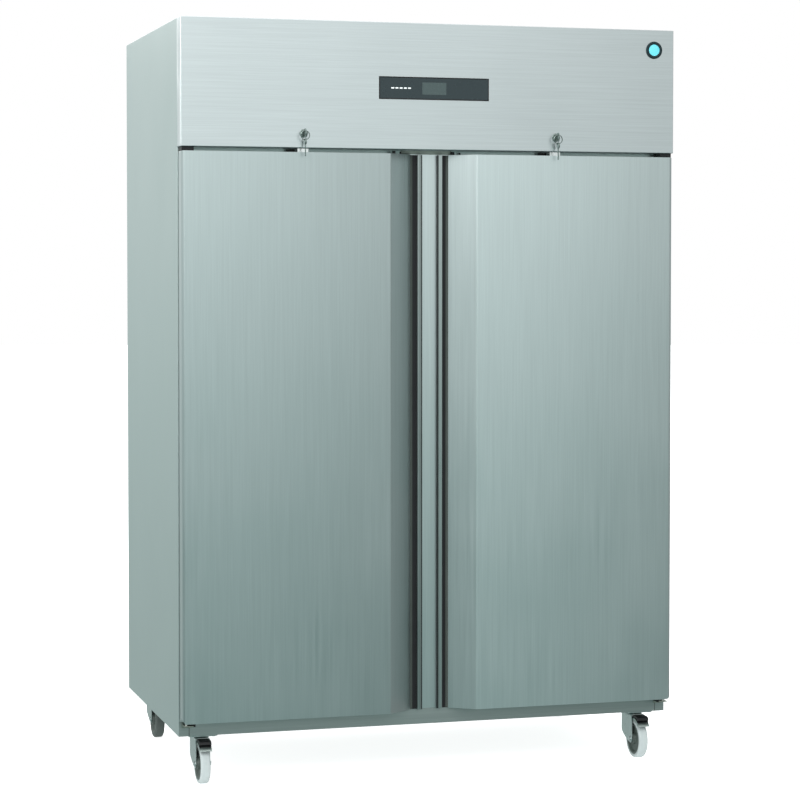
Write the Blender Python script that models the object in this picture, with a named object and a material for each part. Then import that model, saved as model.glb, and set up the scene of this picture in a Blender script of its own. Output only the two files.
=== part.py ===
"""Upright reach-in refrigerator: two insulated doors, a top-mounted cooling unit, four swivel castors.

Metres, +Z up. The front faces -Y and +X is to the right of someone who faces it. The origin is on the
floor under the middle of the whole object. Depths are given as the distance behind the front face of
the doors, and turned into Y by behind(). Heights above the underside of the body are turned into Z by
above_base().
"""

from math import cos, pi, radians, sin

import bmesh
import bpy
from mathutils import Matrix, Vector

# Whole object
WIDTH = 1.400
DEPTH = 0.847
BODY_HEIGHT = 1.922
BASE_HEIGHT = 0.135
KEY_REACH = 0.030
FRONT_STEP = 0.053
WALL = 0.055
HALF_WIDTH = WIDTH / 2
FRONT_Y = -(DEPTH - KEY_REACH) / 2
CLEARANCE = 0.0003

# Heights above the underside of the body
FLOOR_TOP = 0.080
CEILING_BOTTOM = 1.530
CEILING_TOP = 1.600
DOOR_BOTTOM = 0.042
DOOR_TOP = 1.568
FASCIA_BOTTOM = 1.5795

# Body panels
PANEL_EDGE_RADIUS = 0.0015
MULLION_HALF_WIDTH = 0.088
MULLION_DEPTH = 0.060
SHEET = 0.002
COVER_BACK_INSET = 0.025

# Doors, in distances from the centre line
DOOR_OUTER = 0.698
FACET_START = 0.122
FACET_END = 0.0545
FACET_DEPTH = 0.047
SHELL_DEPTH = 0.0365
LINER_BACK = 0.045
LINER_EDGE = 0.0700
PLUG_BACK = 0.0515
GRIP_BACK = 0.051
GRIP_FLOOR = 0.0495
GRIP_FLOOR_EDGE = 0.0520
LIP_OUTER = 0.024
LIP_INNER = 0.0365
LIP_FRONT = 0.0385
GASKET_INNER_EDGE = 0.0712
GASKET_OUTER_EDGE = 0.682
GASKET_WIDTH = 0.014
GASKET_MARGIN = 0.016
GASKET_FRONT = 0.0453
GASKET_BACK = 0.0526

# Door hinges
HINGE_INSET = 0.0165
HINGE_DEPTH = 0.025
HINGE_PIN_RADIUS = 0.004
HINGE_BORE_RADIUS = 0.0046
HINGE_PIN_LENGTH = 0.020
HINGE_BORE_LENGTH = 0.024
HINGE_LEAF_WIDTH = 0.033
HINGE_LEAF_THICKNESS = 0.004
HINGE_GAP = 0.0005

# Control panel and badge on the fascia
PANEL_WIDTH = 0.312
PANEL_HEIGHT = 0.061
PANEL_DROP = 0.177
PANEL_THICKNESS = 0.005
BADGE_RADIUS = 0.024
BADGE_SIDE_INSET = 0.0585
BADGE_DROP = 0.056
BADGE_THICKNESS = 0.0025

# Locks in the fascia
LOCK_SPACING = 0.717
LOCK_SHIFT = -0.007
LOCK_RISE = 0.0385
SLEEVE_RADIUS = 0.0095
SLEEVE_BACK = 0.0135
ROSETTE_RADIUS = 0.0115
BARREL_RADIUS = 0.0062
CAM_FRONT = 0.0145
CAM_THICKNESS = 0.003
CAM_LENGTH = 0.046
CAM_WIDTH = 0.012
KEY_THICKNESS = 0.0022
KEY_BOW_RADIUS = 0.012
KEY_BOW_REACH = 0.018
KEY_HOLE_RISE = 0.0062
KEY_HOLE_RADIUS = 0.0036
RING_RADIUS = 0.012
RING_WIRE = 0.0009
SPARE_KEY_LENGTH = 0.044
KEEPER_WIDTH = 0.030
KEEPER_HEIGHT = 0.0095

# Castors
CASTOR_SIDE_INSET = 0.070
CASTOR_END_INSET = 0.060
CASTOR_TRAIL = 0.030
WHEEL_RADIUS = 0.054
WHEEL_WIDTH = 0.027
WHEEL_HUB_WIDTH = 0.0335
WHEEL_FACETS = 24
AXLE_RADIUS = 0.0045
AXLE_BORE_RADIUS = 0.0052
FORK_ARM_INNER = 0.0174
FORK_ARM_THICKNESS = 0.003
FORK_TOP_LOW = 0.1168
FORK_TOP_HIGH = 0.1235
FORK_HEAD_HALF_DEPTH = 0.040
FORK_TIP_RADIUS = 0.012
CASTOR_PLATE_HALF_WIDTH = 0.040
CASTOR_PLATE_HALF_DEPTH = 0.052
CASTOR_PLATE_THICKNESS = 0.004
RACE_RADIUS = 0.028
KINGPIN_RADIUS = 0.0050
KINGPIN_HEAD_RADIUS = 0.0090

# Foot brakes, measured from the pivot of the pedal
BRAKE_PIVOT_AHEAD = 0.004
BRAKE_PIVOT_Z = 0.1127
BRAKE_PIN_RADIUS = 0.0022
PEDAL_HALF_WIDTH = 0.015
PEDAL_SIDE_VIEW = ((0.004, 0.0003), (-0.030, 0.0003), (-0.046, -0.0085), (-0.055, -0.0175),
                   (-0.058, -0.0160), (-0.049, -0.0060), (-0.031, 0.0030), (0.004, 0.0030))
SHOE_HALF_WIDTH = 0.010
SHOE_FRONT = -0.024
SHOE_BACK = 0.002
SHOE_HALF_THICKNESS = 0.0020

# Shelves and their racks
RUNNER_PITCH = 0.220
RUNNER_COUNT = 5
SIDE_RUNNER_REACH = 0.060
CENTRE_RUNNER_REACH = 0.070
RUNNER_THICKNESS = 0.002
POST_WIDTH = 0.018
RACK_FRONT = 0.130
RACK_BACK = 0.770
SHELF_RUNNERS = {"lower": 2, "upper": 4}
SHELF_WIDTH = 0.545
SHELF_DEPTH = 0.620
SHELF_ROD = 0.008
SHELF_BARS = 6

# Slots in the top cover: five rows on the top, and five on the back
VENT_ROWS = 5
VENT_PITCH = 0.036
VENT_HALF_HEIGHT = 0.006
TOP_VENT_CENTRES = (-0.36, 0.0, 0.36)
TOP_VENT_HALF_WIDTH = 0.14
TOP_VENT_INSET = 0.070
BACK_VENT_CENTRES = (-0.32, 0.32)
BACK_VENT_HALF_WIDTH = 0.22
BACK_VENT_RISE = 0.060
GLAND_RADIUS = 0.0122

# Machine room
FAN_BLADES = 5
COMPRESSOR_X = -0.42
COMPRESSOR_DEPTH = 0.48
COMPRESSOR_RADIUS = 0.095
COMPRESSOR_HEIGHT = 0.215
CONDENSER_X = 0.20
CONDENSER_FRONT = 0.300
CONDENSER_HALF_WIDTH = 0.170
CONDENSER_THICKNESS = 0.070
CONDENSER_HEIGHT = 0.285
CONDENSER_FINS = 14
CONDENSER_FAN_RISE = 0.140
CONDENSER_FAN_RADIUS = 0.110
SHROUD_WALL = 0.010
SHROUD_BACK = 0.110

# Evaporator, under the ceiling of the cold room
EVAPORATOR_HALF_WIDTH = 0.24
EVAPORATOR_FRONT = 0.600
EVAPORATOR_BACK = 0.760
EVAPORATOR_HEIGHT = 0.095
EVAPORATOR_FINS = 16
EVAPORATOR_FAN_DEPTH = 0.470
EVAPORATOR_FAN_RADIUS = 0.085
COVER_HALF_WIDTH = 0.300
COVER_FRONT = 0.360
COVER_BACK = 0.780
EVAPORATOR_COVER_DEPTH = 0.120

ROUND = 32
FINISHES = {
    "brushed_steel": ((0.62, 0.67, 0.66), 0.34, 1.0),
    "satin_steel": ((0.56, 0.61, 0.60), 0.42, 1.0),
    "bright_steel": ((0.80, 0.82, 0.82), 0.20, 1.0),
    "liner_steel": ((0.66, 0.69, 0.69), 0.36, 1.0),
    "dark_glass": ((0.02, 0.025, 0.027), 0.12, 0.0),
    "black_plastic": ((0.025, 0.027, 0.028), 0.45, 0.0),
    "grey_rubber": ((0.16, 0.17, 0.17), 0.70, 0.0),
    "white_nylon": ((0.74, 0.76, 0.75), 0.45, 0.0),
    "cyan_enamel": ((0.20, 0.72, 0.78), 0.30, 0.0),
    "aluminium": ((0.70, 0.71, 0.72), 0.40, 1.0),
    "black_paint": ((0.03, 0.03, 0.032), 0.50, 0.0),
}


def behind(depth):
    """Y of a plane this far behind the front face of the doors."""
    return FRONT_Y + depth


def above_base(height):
    """Z of a level this far above the underside of the body."""
    return BASE_HEIGHT + height


def remove_scene_objects():
    for existing in list(bpy.data.objects):
        bpy.data.objects.remove(existing)


def finish_material(finish):
    if finish in bpy.data.materials:
        return bpy.data.materials[finish]
    colour, roughness, metallic = FINISHES[finish]
    made = bpy.data.materials.new(finish)
    made.use_nodes = True
    shader = made.node_tree.nodes["Principled BSDF"]
    shader.inputs["Base Color"].default_value = (*colour, 1.0)
    shader.inputs["Roughness"].default_value = roughness
    shader.inputs["Metallic"].default_value = metallic
    return made


def mesh_from(work):
    """Close a bmesh into a mesh with its faces pointing out."""
    bmesh.ops.recalc_face_normals(work, faces=work.faces)
    made = bpy.data.meshes.new("shape")
    work.to_mesh(made)
    work.free()
    return made


def along(axis, first, second, distance):
    """A point from two coordinates across an axis and one along it."""
    if axis == "X":
        return (distance, first, second)
    if axis == "Y":
        return (first, distance, second)
    return (first, second, distance)


def prism(outline, axis, low, high):
    """A closed outline, swept straight along an axis."""
    work = bmesh.new()
    rings = [[work.verts.new(along(axis, a, b, end)) for a, b in outline] for end in (low, high)]
    work.faces.new(rings[0])
    work.faces.new(rings[1])
    for index in range(len(outline)):
        following = (index + 1) % len(outline)
        corners = (rings[0][index], rings[0][following], rings[1][following], rings[1][index])
        work.faces.new(corners)
    return mesh_from(work)


def block(x_range, y_range, z_range):
    (x0, x1), (y0, y1) = x_range, y_range
    return prism([(x0, y0), (x1, y0), (x1, y1), (x0, y1)], "Z", *z_range)


def circle(centre, radius, count=ROUND, turn=0.0):
    steps = [turn + 2 * pi * index / count for index in range(count)]
    return [(centre[0] + radius * cos(step), centre[1] + radius * sin(step)) for step in steps]


def rod(axis, centre, radius, low, high, count=ROUND, turn=0.0):
    return prism(circle(centre, radius, count, turn), axis, low, high)


def turned(profile, axis, centre, count=ROUND, turn=0.0):
    """A profile of (radius, distance along the axis) pairs, turned once around the axis.

    A profile that starts and ends on the axis makes a solid, and any other one is closed into a ring.
    """
    work = bmesh.new()
    solid = profile[0][0] == 0.0 and profile[-1][0] == 0.0
    rings = []
    for radius, distance in profile:
        if radius == 0.0:
            ring = [work.verts.new(along(axis, *centre, distance))] * count
        else:
            outline = circle(centre, radius, count, turn)
            ring = [work.verts.new(along(axis, a, b, distance)) for a, b in outline]
        rings.append(ring)
    pairs = list(zip(rings, rings[1:]))
    if not solid:
        pairs.append((rings[-1], rings[0]))
    for lower, upper in pairs:
        for index in range(count):
            following = (index + 1) % count
            corners = [lower[index], lower[following], upper[following], upper[index]]
            unique = list(dict.fromkeys(corners))
            if len(unique) > 2:
                work.faces.new(unique)
    return mesh_from(work)


def rotate_mesh(mesh, angle, axis, pivot):
    """Turn a mesh about an axis through a point."""
    there = Matrix.Translation(Vector(pivot))
    mesh.transform(there @ Matrix.Rotation(angle, 4, axis) @ there.inverted())
    return mesh


def combined(base, others, operation):
    """Join, or cut away, meshes with an exact Boolean, and return the result."""
    holder = bpy.data.objects.new("holder", base)
    bpy.context.scene.collection.objects.link(holder)
    tools = []
    for index, other in enumerate(others):
        tool = bpy.data.objects.new("tool", other)
        bpy.context.scene.collection.objects.link(tool)
        step = holder.modifiers.new("step_%d" % index, "BOOLEAN")
        step.operation = operation
        step.solver = "EXACT"
        step.object = tool
        tools.append(tool)
    view = bpy.context.evaluated_depsgraph_get()
    result = bpy.data.meshes.new_from_object(holder.evaluated_get(view))
    for spent in [holder, *tools]:
        bpy.data.objects.remove(spent)
    return result


def joined(base, *others):
    return combined(base, others, "UNION")


def cut(base, *others):
    return combined(base, others, "DIFFERENCE")


def softened(mesh, width, segments=2, sharper_than=40):
    """Round every edge that folds by more than an angle."""
    work = bmesh.new()
    work.from_mesh(mesh)
    bmesh.ops.dissolve_limit(work, angle_limit=radians(0.5), verts=work.verts, edges=work.edges)
    folds = [e for e in work.edges if len(e.link_faces) == 2 and e.calc_face_angle() > radians(sharper_than)]
    bmesh.ops.bevel(work, geom=folds, offset=width, segments=segments, profile=0.5, affect="EDGES")
    return mesh_from(work)


def world_place(empty):
    place = Vector(empty.location)
    while empty.parent:
        empty = empty.parent
        place += Vector(empty.location)
    return place


def pivot(name, place, parent=None):
    """An empty on a joint's axis, which the joint's moving pieces hang from."""
    empty = bpy.data.objects.new(name, None)
    bpy.context.scene.collection.objects.link(empty)
    empty.empty_display_size = 0.05
    empty.parent = parent
    empty.location = Vector(place) - (world_place(parent) if parent else Vector())
    return empty


def piece(name, mesh, finish, parent=None):
    """A named sub-part, from a mesh in world coordinates, with its origin on its parent's axis."""
    origin = world_place(parent) if parent else Vector()
    mesh.transform(Matrix.Translation(-origin))
    mesh.name = name
    mesh.materials.clear()
    mesh.materials.append(finish_material(finish))
    mesh.shade_smooth()
    mesh.set_sharp_from_angle(angle=radians(35))
    made = bpy.data.objects.new(name, mesh)
    bpy.context.scene.collection.objects.link(made)
    made.parent = parent
    return made


def make_body():
    """Insulated walls, floor, ceiling and centre post of the cold room, and the machine room's cover."""
    inner = HALF_WIDTH - WALL - CLEARANCE
    front = behind(FRONT_STEP)
    back = behind(DEPTH)
    top = above_base(BODY_HEIGHT)
    for side, sign in (("left", -1), ("right", 1)):
        x_range = sorted((sign * (HALF_WIDTH - WALL), sign * HALF_WIDTH))
        wall = softened(block(x_range, (front, back), (BASE_HEIGHT, top)), PANEL_EDGE_RADIUS)
        piece("side_panel_" + side, wall, "satin_steel")
    floor = block((-inner, inner), (front, back), (BASE_HEIGHT, above_base(FLOOR_TOP)))
    piece("floor_panel", softened(floor, PANEL_EDGE_RADIUS), "brushed_steel")
    rear = block((-inner, inner), (behind(DEPTH - WALL), back),
                 (above_base(FLOOR_TOP) + CLEARANCE, above_base(CEILING_TOP)))
    piece("rear_panel", softened(rear, PANEL_EDGE_RADIUS), "liner_steel")
    ceiling = block((-inner, inner), (front, behind(DEPTH - WALL) - CLEARANCE),
                    (above_base(CEILING_BOTTOM), above_base(CEILING_TOP)))
    piece("ceiling_panel", softened(ceiling, PANEL_EDGE_RADIUS), "liner_steel")
    mullion = block((-MULLION_HALF_WIDTH, MULLION_HALF_WIDTH), (front, behind(FRONT_STEP + MULLION_DEPTH)),
                    (above_base(FLOOR_TOP) + CLEARANCE, above_base(CEILING_BOTTOM) - CLEARANCE))
    piece("centre_mullion", softened(mullion, PANEL_EDGE_RADIUS), "brushed_steel")
    make_top_cover(inner, front, top)


def make_top_cover(inner, front, top):
    """One folded sheet that closes the machine room: a slotted top and a slotted back."""
    cover_back = behind(DEPTH - COVER_BACK_INSET)
    low = above_base(CEILING_TOP) + CLEARANCE
    start = front + CLEARANCE
    fold = [(start, top - SHEET), (cover_back - SHEET, top - SHEET), (cover_back - SHEET, low),
            (cover_back, low), (cover_back, top), (start, top)]
    sheet = prism(fold, "X", -inner, inner)
    slots = []
    for row in range(VENT_ROWS):
        y = cover_back - TOP_VENT_INSET - VENT_PITCH * row
        for x in TOP_VENT_CENTRES:
            slots.append(block((x - TOP_VENT_HALF_WIDTH, x + TOP_VENT_HALF_WIDTH),
                               (y - VENT_HALF_HEIGHT, y + VENT_HALF_HEIGHT), (top - 0.010, top + 0.010)))
        z = low + BACK_VENT_RISE + VENT_PITCH * row
        for x in BACK_VENT_CENTRES:
            slots.append(block((x - BACK_VENT_HALF_WIDTH, x + BACK_VENT_HALF_WIDTH),
                               (cover_back - 0.010, cover_back + 0.010),
                               (z - VENT_HALF_HEIGHT, z + VENT_HALF_HEIGHT)))
    gland_centre = (0.0, low + BACK_VENT_RISE)
    gland_hole = rod("Y", gland_centre, GLAND_RADIUS + CLEARANCE, cover_back - 0.010, cover_back + 0.010)
    piece("top_cover", cut(sheet, *slots, gland_hole), "liner_steel")
    gland = turned([(0.0, cover_back - 0.012), (GLAND_RADIUS, cover_back - 0.012),
                    (GLAND_RADIUS, cover_back + CLEARANCE), (0.017, cover_back + CLEARANCE),
                    (0.015, cover_back + 0.010), (0.009, cover_back + 0.018), (0.005, cover_back + 0.018),
                    (0.005, cover_back - 0.004), (0.0, cover_back - 0.004)], "Y", gland_centre, 24)
    piece("cable_gland", gland, "black_plastic")


def lock_centres():
    return {"left": -LOCK_SPACING / 2 + LOCK_SHIFT, "right": LOCK_SPACING / 2 + LOCK_SHIFT}


def make_fascia():
    """Folded front panel of the machine room, with the control panel and the badge set in it."""
    low = above_base(FASCIA_BOTTOM)
    high = above_base(BODY_HEIGHT)
    back = behind(FRONT_STEP) - CLEARANCE
    pan = block((-HALF_WIDTH, HALF_WIDTH), (behind(0.0), back), (low, high))
    pan = softened(pan, PANEL_EDGE_RADIUS)
    hollow = block((-HALF_WIDTH + SHEET, HALF_WIDTH - SHEET), (behind(SHEET), back + 0.010),
                   (low + SHEET, high - SHEET))
    panel_z = high - PANEL_DROP
    window_x = PANEL_WIDTH / 2 + CLEARANCE
    window_z = PANEL_HEIGHT / 2 + CLEARANCE
    through = (behind(-0.01), behind(0.01))
    window = block((-window_x, window_x), through, (panel_z - window_z, panel_z + window_z))
    openings = [hollow, window]
    for x in lock_centres().values():
        cam_y = (behind(CAM_FRONT - 0.0015), behind(CAM_FRONT + 0.0055))
        openings.append(rod("Y", (x, low + LOCK_RISE), SLEEVE_RADIUS + CLEARANCE, *through))
        openings.append(block((x - 0.034, x + 0.010), cam_y, (low - 0.010, low + 0.010)))
    piece("fascia_panel", cut(pan, *openings), "brushed_steel")
    glass = block((-PANEL_WIDTH / 2, PANEL_WIDTH / 2), (behind(-0.0008), behind(PANEL_THICKNESS)),
                  (panel_z - PANEL_HEIGHT / 2, panel_z + PANEL_HEIGHT / 2))
    piece("control_panel", softened(glass, 0.0006), "dark_glass")
    badge_front = behind(-BADGE_THICKNESS)
    badge_back = behind(-CLEARANCE)
    badge = turned([(0.0, badge_front + 0.0008), (BADGE_RADIUS * 0.64, badge_front + 0.0008),
                    (BADGE_RADIUS * 0.70, badge_front), (BADGE_RADIUS * 0.95, badge_front),
                    (BADGE_RADIUS, badge_front + 0.0008), (BADGE_RADIUS, badge_back), (0.0, badge_back)],
                   "Y", (HALF_WIDTH - BADGE_SIDE_INSET, high - BADGE_DROP), 32)
    piece("badge", badge, "cyan_enamel")


def ring_frame(outer, inner, y_range):
    """A flat rectangular frame that faces the front, from two (x0, x1, z0, z1) rectangles."""
    frame = block(outer[:2], y_range, outer[2:])
    middle = block(inner[:2], (y_range[0] - 0.010, y_range[1] + 0.010), inner[2:])
    return cut(frame, middle)


def make_door(side, sign):
    """Outer shell, inner liner, magnetic gasket, grip strip and lock keeper of one door."""
    low = above_base(DOOR_BOTTOM)
    high = above_base(DOOR_TOP)
    hinge_x = sign * (HALF_WIDTH - HINGE_INSET)
    hinge = pivot("door_%s_axis" % side, (hinge_x, behind(HINGE_DEPTH), low))

    facet_meets_back = FACET_START - (FACET_START - FACET_END) * SHELL_DEPTH / FACET_DEPTH
    outline = [(sign * DOOR_OUTER, behind(0.0)), (sign * FACET_START, behind(0.0)),
               (sign * facet_meets_back, behind(SHELL_DEPTH)), (sign * DOOR_OUTER, behind(SHELL_DEPTH))]
    shell = softened(prism(outline, "Z", low, high), 0.0015, sharper_than=60)
    centre = (hinge_x, behind(HINGE_DEPTH))
    shell = cut(shell,
                rod("Z", centre, HINGE_BORE_RADIUS, low - 0.010, low + HINGE_BORE_LENGTH, 24),
                rod("Z", centre, HINGE_BORE_RADIUS, high - HINGE_BORE_LENGTH, high + 0.010, 24))
    piece("door_%s_shell" % side, shell, "brushed_steel", hinge)

    edges = sorted((sign * LINER_EDGE, sign * (DOOR_OUTER - 0.001)))
    pan = block(edges, (behind(SHELL_DEPTH) + CLEARANCE, behind(LINER_BACK)), (low + 0.001, high - 0.001))
    plug_edges = sorted((sign * (GASKET_INNER_EDGE + GASKET_WIDTH + 0.002),
                         sign * (GASKET_OUTER_EDGE - GASKET_WIDTH - 0.002)))
    plug_margin = GASKET_MARGIN + GASKET_WIDTH + 0.002
    plug = softened(block(plug_edges, (behind(LINER_BACK - 0.002), behind(PLUG_BACK)),
                          (low + plug_margin, high - plug_margin)), 0.001)
    piece("door_%s_liner" % side, joined(pan, plug), "liner_steel", hinge)

    outer_x = sorted((sign * GASKET_INNER_EDGE, sign * GASKET_OUTER_EDGE))
    inner_x = (outer_x[0] + GASKET_WIDTH, outer_x[1] - GASKET_WIDTH)
    outer_z = (low + GASKET_MARGIN, high - GASKET_MARGIN)
    inner_z = (outer_z[0] + GASKET_WIDTH, outer_z[1] - GASKET_WIDTH)
    gasket_y = (behind(GASKET_FRONT), behind(GASKET_BACK))
    gasket = ring_frame((*outer_x, *outer_z), (*inner_x, *inner_z), gasket_y)
    piece("door_%s_gasket" % side, gasket, "grey_rubber", hinge)

    channel = [(LIP_OUTER, LIP_FRONT), (LIP_OUTER, GRIP_BACK), (LINER_EDGE - 0.0008, GRIP_BACK),
               (LINER_EDGE - 0.0008, SHELL_DEPTH + CLEARANCE), (FACET_END, FACET_DEPTH),
               (GRIP_FLOOR_EDGE, GRIP_FLOOR), (LIP_INNER, GRIP_FLOOR), (LIP_INNER, LIP_FRONT)]
    grip = prism([(sign * x, behind(depth)) for x, depth in channel], "Z", low + 0.001, high - 0.001)
    piece("door_%s_grip" % side, grip, "black_plastic", hinge)

    x = lock_centres()[side]
    lift = high + CLEARANCE
    angle = [(behind(0.009), lift), (behind(0.032), lift), (behind(0.032), lift + SHEET),
             (behind(0.0115), lift + SHEET), (behind(0.0115), lift + KEEPER_HEIGHT),
             (behind(0.009), lift + KEEPER_HEIGHT)]
    keeper = prism(angle, "X", x - KEEPER_WIDTH / 2, x + KEEPER_WIDTH / 2)
    piece("door_%s_keeper" % side, keeper, "bright_steel", hinge)


def make_hinges(side, sign):
    """Fixed bottom bracket and top block, each with the pin that the door turns on."""
    x_pin = sign * (HALF_WIDTH - HINGE_INSET)
    y_pin = behind(HINGE_DEPTH)
    wall = behind(FRONT_STEP) - CLEARANCE
    near = sign * (HALF_WIDTH - 0.004)
    leaf_x = sorted((near, near - sign * HINGE_LEAF_WIDTH))
    door_low = above_base(DOOR_BOTTOM)
    leaf_top = door_low - HINGE_GAP
    leaf_low = leaf_top - HINGE_LEAF_THICKNESS
    profile = [(behind(0.010), leaf_low), (wall - 0.003, leaf_low), (wall - 0.003, BASE_HEIGHT + 0.006),
               (wall, BASE_HEIGHT + 0.006), (wall, leaf_top), (behind(0.010), leaf_top)]
    bracket = softened(prism(profile, "X", *leaf_x), 0.0006, 1)
    pin = rod("Z", (x_pin, y_pin), HINGE_PIN_RADIUS, leaf_low + 0.001, door_low + HINGE_PIN_LENGTH, 24)
    piece("hinge_bottom_" + side, joined(bracket, pin), "bright_steel")

    block_low = above_base(DOOR_TOP) + HINGE_GAP
    block_high = above_base(FASCIA_BOTTOM) - CLEARANCE
    head = softened(block(leaf_x, (behind(0.006), wall), (block_low, block_high)), 0.0008, 1)
    top_pin = rod("Z", (x_pin, y_pin), HINGE_PIN_RADIUS, above_base(DOOR_TOP) - HINGE_PIN_LENGTH,
                  block_low + 0.004, 24)
    piece("hinge_top_" + side, joined(head, top_pin), "black_plastic")


def make_lock(side):
    """Sleeve in the fascia, turning barrel with its cam, the key in it, and the spare key on its ring."""
    x = lock_centres()[side]
    z = above_base(FASCIA_BOTTOM) + LOCK_RISE
    sleeve = turned([(BARREL_RADIUS + CLEARANCE, behind(-0.0018)), (ROSETTE_RADIUS - 0.001, behind(-0.0018)),
                     (ROSETTE_RADIUS, behind(-0.0010)), (ROSETTE_RADIUS, behind(-0.0003)),
                     (SLEEVE_RADIUS, behind(-0.0003)), (SLEEVE_RADIUS, behind(SLEEVE_BACK)),
                     (BARREL_RADIUS + CLEARANCE, behind(SLEEVE_BACK))], "Y", (x, z), 20)
    piece("lock_%s_sleeve" % side, sleeve, "bright_steel")

    turning = pivot("lock_%s_axis" % side, (x, behind(0.0), z))
    slot = block((x - 0.0017, x + 0.0017), (behind(-0.005), behind(0.0093)), (z - 0.0048, z + 0.0048))
    barrel = cut(rod("Y", (x, z), BARREL_RADIUS, behind(-0.0014), behind(CAM_FRONT + 0.0005), 24), slot)
    cam_outline = [(x - CAM_LENGTH, z - CAM_WIDTH / 2), (x, z - CAM_WIDTH / 2), (x + 0.007, z - 0.003),
                   (x + 0.007, z + 0.003), (x, z + CAM_WIDTH / 2), (x - CAM_LENGTH, z + CAM_WIDTH / 2)]
    cam = prism(cam_outline, "Y", behind(CAM_FRONT), behind(CAM_FRONT + CAM_THICKNESS))
    piece("lock_%s_barrel" % side, joined(barrel, cam), "bright_steel", turning)

    bow_y = behind(-KEY_BOW_REACH)
    half = KEY_THICKNESS / 2
    bow = rod("X", (bow_y, z), KEY_BOW_RADIUS, x - half, x + half)
    blade = block((x - half, x + half), (bow_y, behind(0.0088)), (z - 0.0040, z + 0.0040))
    eye = rod("X", (bow_y, z + KEY_HOLE_RISE), KEY_HOLE_RADIUS, x - 0.01, x + 0.01, 20)
    piece("lock_%s_key" % side, cut(joined(bow, blade), eye), "bright_steel", turning)
    make_key_ring(side, x, bow_y, z + KEY_HOLE_RISE, turning)


def make_key_ring(side, x, y, z, turning):
    """A wire ring through the eye of the key in the lock, with the spare key hanging from it."""
    swing = pivot("keys_%s_axis" % side, (x, y, z), turning)
    wire = circle((RING_RADIUS, y), RING_WIRE, 6)
    loop = turned(wire, "Y", (x, z - RING_RADIUS), 20)
    half = KEY_THICKNESS / 2
    eye_z = z - 2 * RING_RADIUS
    bow = rod("X", (y, eye_z - 0.005), 0.009, x - half, x + half, 24)
    blade = block((x - half, x + half), (y - 0.0035, y + 0.0035), (eye_z - SPARE_KEY_LENGTH, eye_z - 0.008))
    piece("lock_%s_key_ring" % side, joined(bow, blade, loop), "bright_steel", swing)


def fork_outline(axle_y, axle_z, swivel_y):
    """Side view of a fork arm: wide under the top plate, and round where it holds the axle."""
    end = [(axle_y + FORK_TIP_RADIUS * cos(radians(angle)), axle_z + FORK_TIP_RADIUS * sin(radians(angle)))
           for angle in range(180, 361, 20)]
    return [(swivel_y - FORK_HEAD_HALF_DEPTH, FORK_TOP_HIGH), *end,
            (swivel_y + FORK_HEAD_HALF_DEPTH - 0.004, FORK_TOP_LOW - 0.016),
            (swivel_y + FORK_HEAD_HALF_DEPTH, FORK_TOP_HIGH)]


def make_castor(name, x, swivel_y, has_brake):
    """A swivel castor: bolted plate with its riveted kingpin, fork with its axle, wheel and brake."""
    axle_y = swivel_y - CASTOR_TRAIL
    centre = (x, swivel_y)
    top = BASE_HEIGHT - CLEARANCE
    plate = block((x - CASTOR_PLATE_HALF_WIDTH, x + CASTOR_PLATE_HALF_WIDTH),
                  (swivel_y - CASTOR_PLATE_HALF_DEPTH, swivel_y + CASTOR_PLATE_HALF_DEPTH),
                  (top - CASTOR_PLATE_THICKNESS, top))
    plate = softened(plate, 0.001, 1)
    kingpin = turned([(0.0, top - 0.003), (RACE_RADIUS, top - 0.003),
                      (RACE_RADIUS, FORK_TOP_HIGH + CLEARANCE),
                      (KINGPIN_RADIUS, FORK_TOP_HIGH + CLEARANCE), (KINGPIN_RADIUS, FORK_TOP_LOW - CLEARANCE),
                      (KINGPIN_HEAD_RADIUS, FORK_TOP_LOW - CLEARANCE),
                      (KINGPIN_HEAD_RADIUS - 0.002, FORK_TOP_LOW - 0.004), (0.0, FORK_TOP_LOW - 0.004)],
                     "Z", centre, 16)
    piece(name + "_plate", joined(plate, kingpin), "bright_steel")

    swivel = pivot(name + "_swivel_axis", (x, swivel_y, FORK_TOP_HIGH))
    reach = FORK_ARM_INNER + FORK_ARM_THICKNESS
    head = block((x - reach, x + reach), (swivel_y - FORK_HEAD_HALF_DEPTH, swivel_y + FORK_HEAD_HALF_DEPTH),
                 (FORK_TOP_LOW, FORK_TOP_HIGH))
    head = cut(head, rod("Z", centre, KINGPIN_RADIUS + 2 * CLEARANCE, 0.0, 1.0, 24))
    outline = fork_outline(axle_y, WHEEL_RADIUS, swivel_y)
    arms = [prism(outline, "X", *sorted((x + side * FORK_ARM_INNER, x + side * reach))) for side in (-1, 1)]
    axle = rod("X", (axle_y, WHEEL_RADIUS), AXLE_RADIUS, x - reach - 0.004, x + reach + 0.004, 16)
    piece(name + "_fork", joined(head, *arms, axle), "bright_steel", swivel)

    spin = pivot(name + "_wheel_axis", (x, axle_y, WHEEL_RADIUS), swivel)
    corner = WHEEL_RADIUS / cos(pi / WHEEL_FACETS)
    half = WHEEL_WIDTH / 2
    hub = WHEEL_HUB_WIDTH / 2
    right = [(AXLE_BORE_RADIUS, hub), (0.015, hub), (0.017, half - 0.003), (corner - 0.011, half - 0.003),
             (corner - 0.005, half), (corner, half - 0.005)]
    profile = [(r, x + d) for r, d in right] + [(r, x - d) for r, d in reversed(right)]
    wheel = turned(profile, "X", (axle_y, WHEEL_RADIUS), WHEEL_FACETS, pi / WHEEL_FACETS)
    piece(name + "_wheel", wheel, "white_nylon", spin)
    if has_brake:
        make_brake(name, x, axle_y, swivel)


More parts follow.
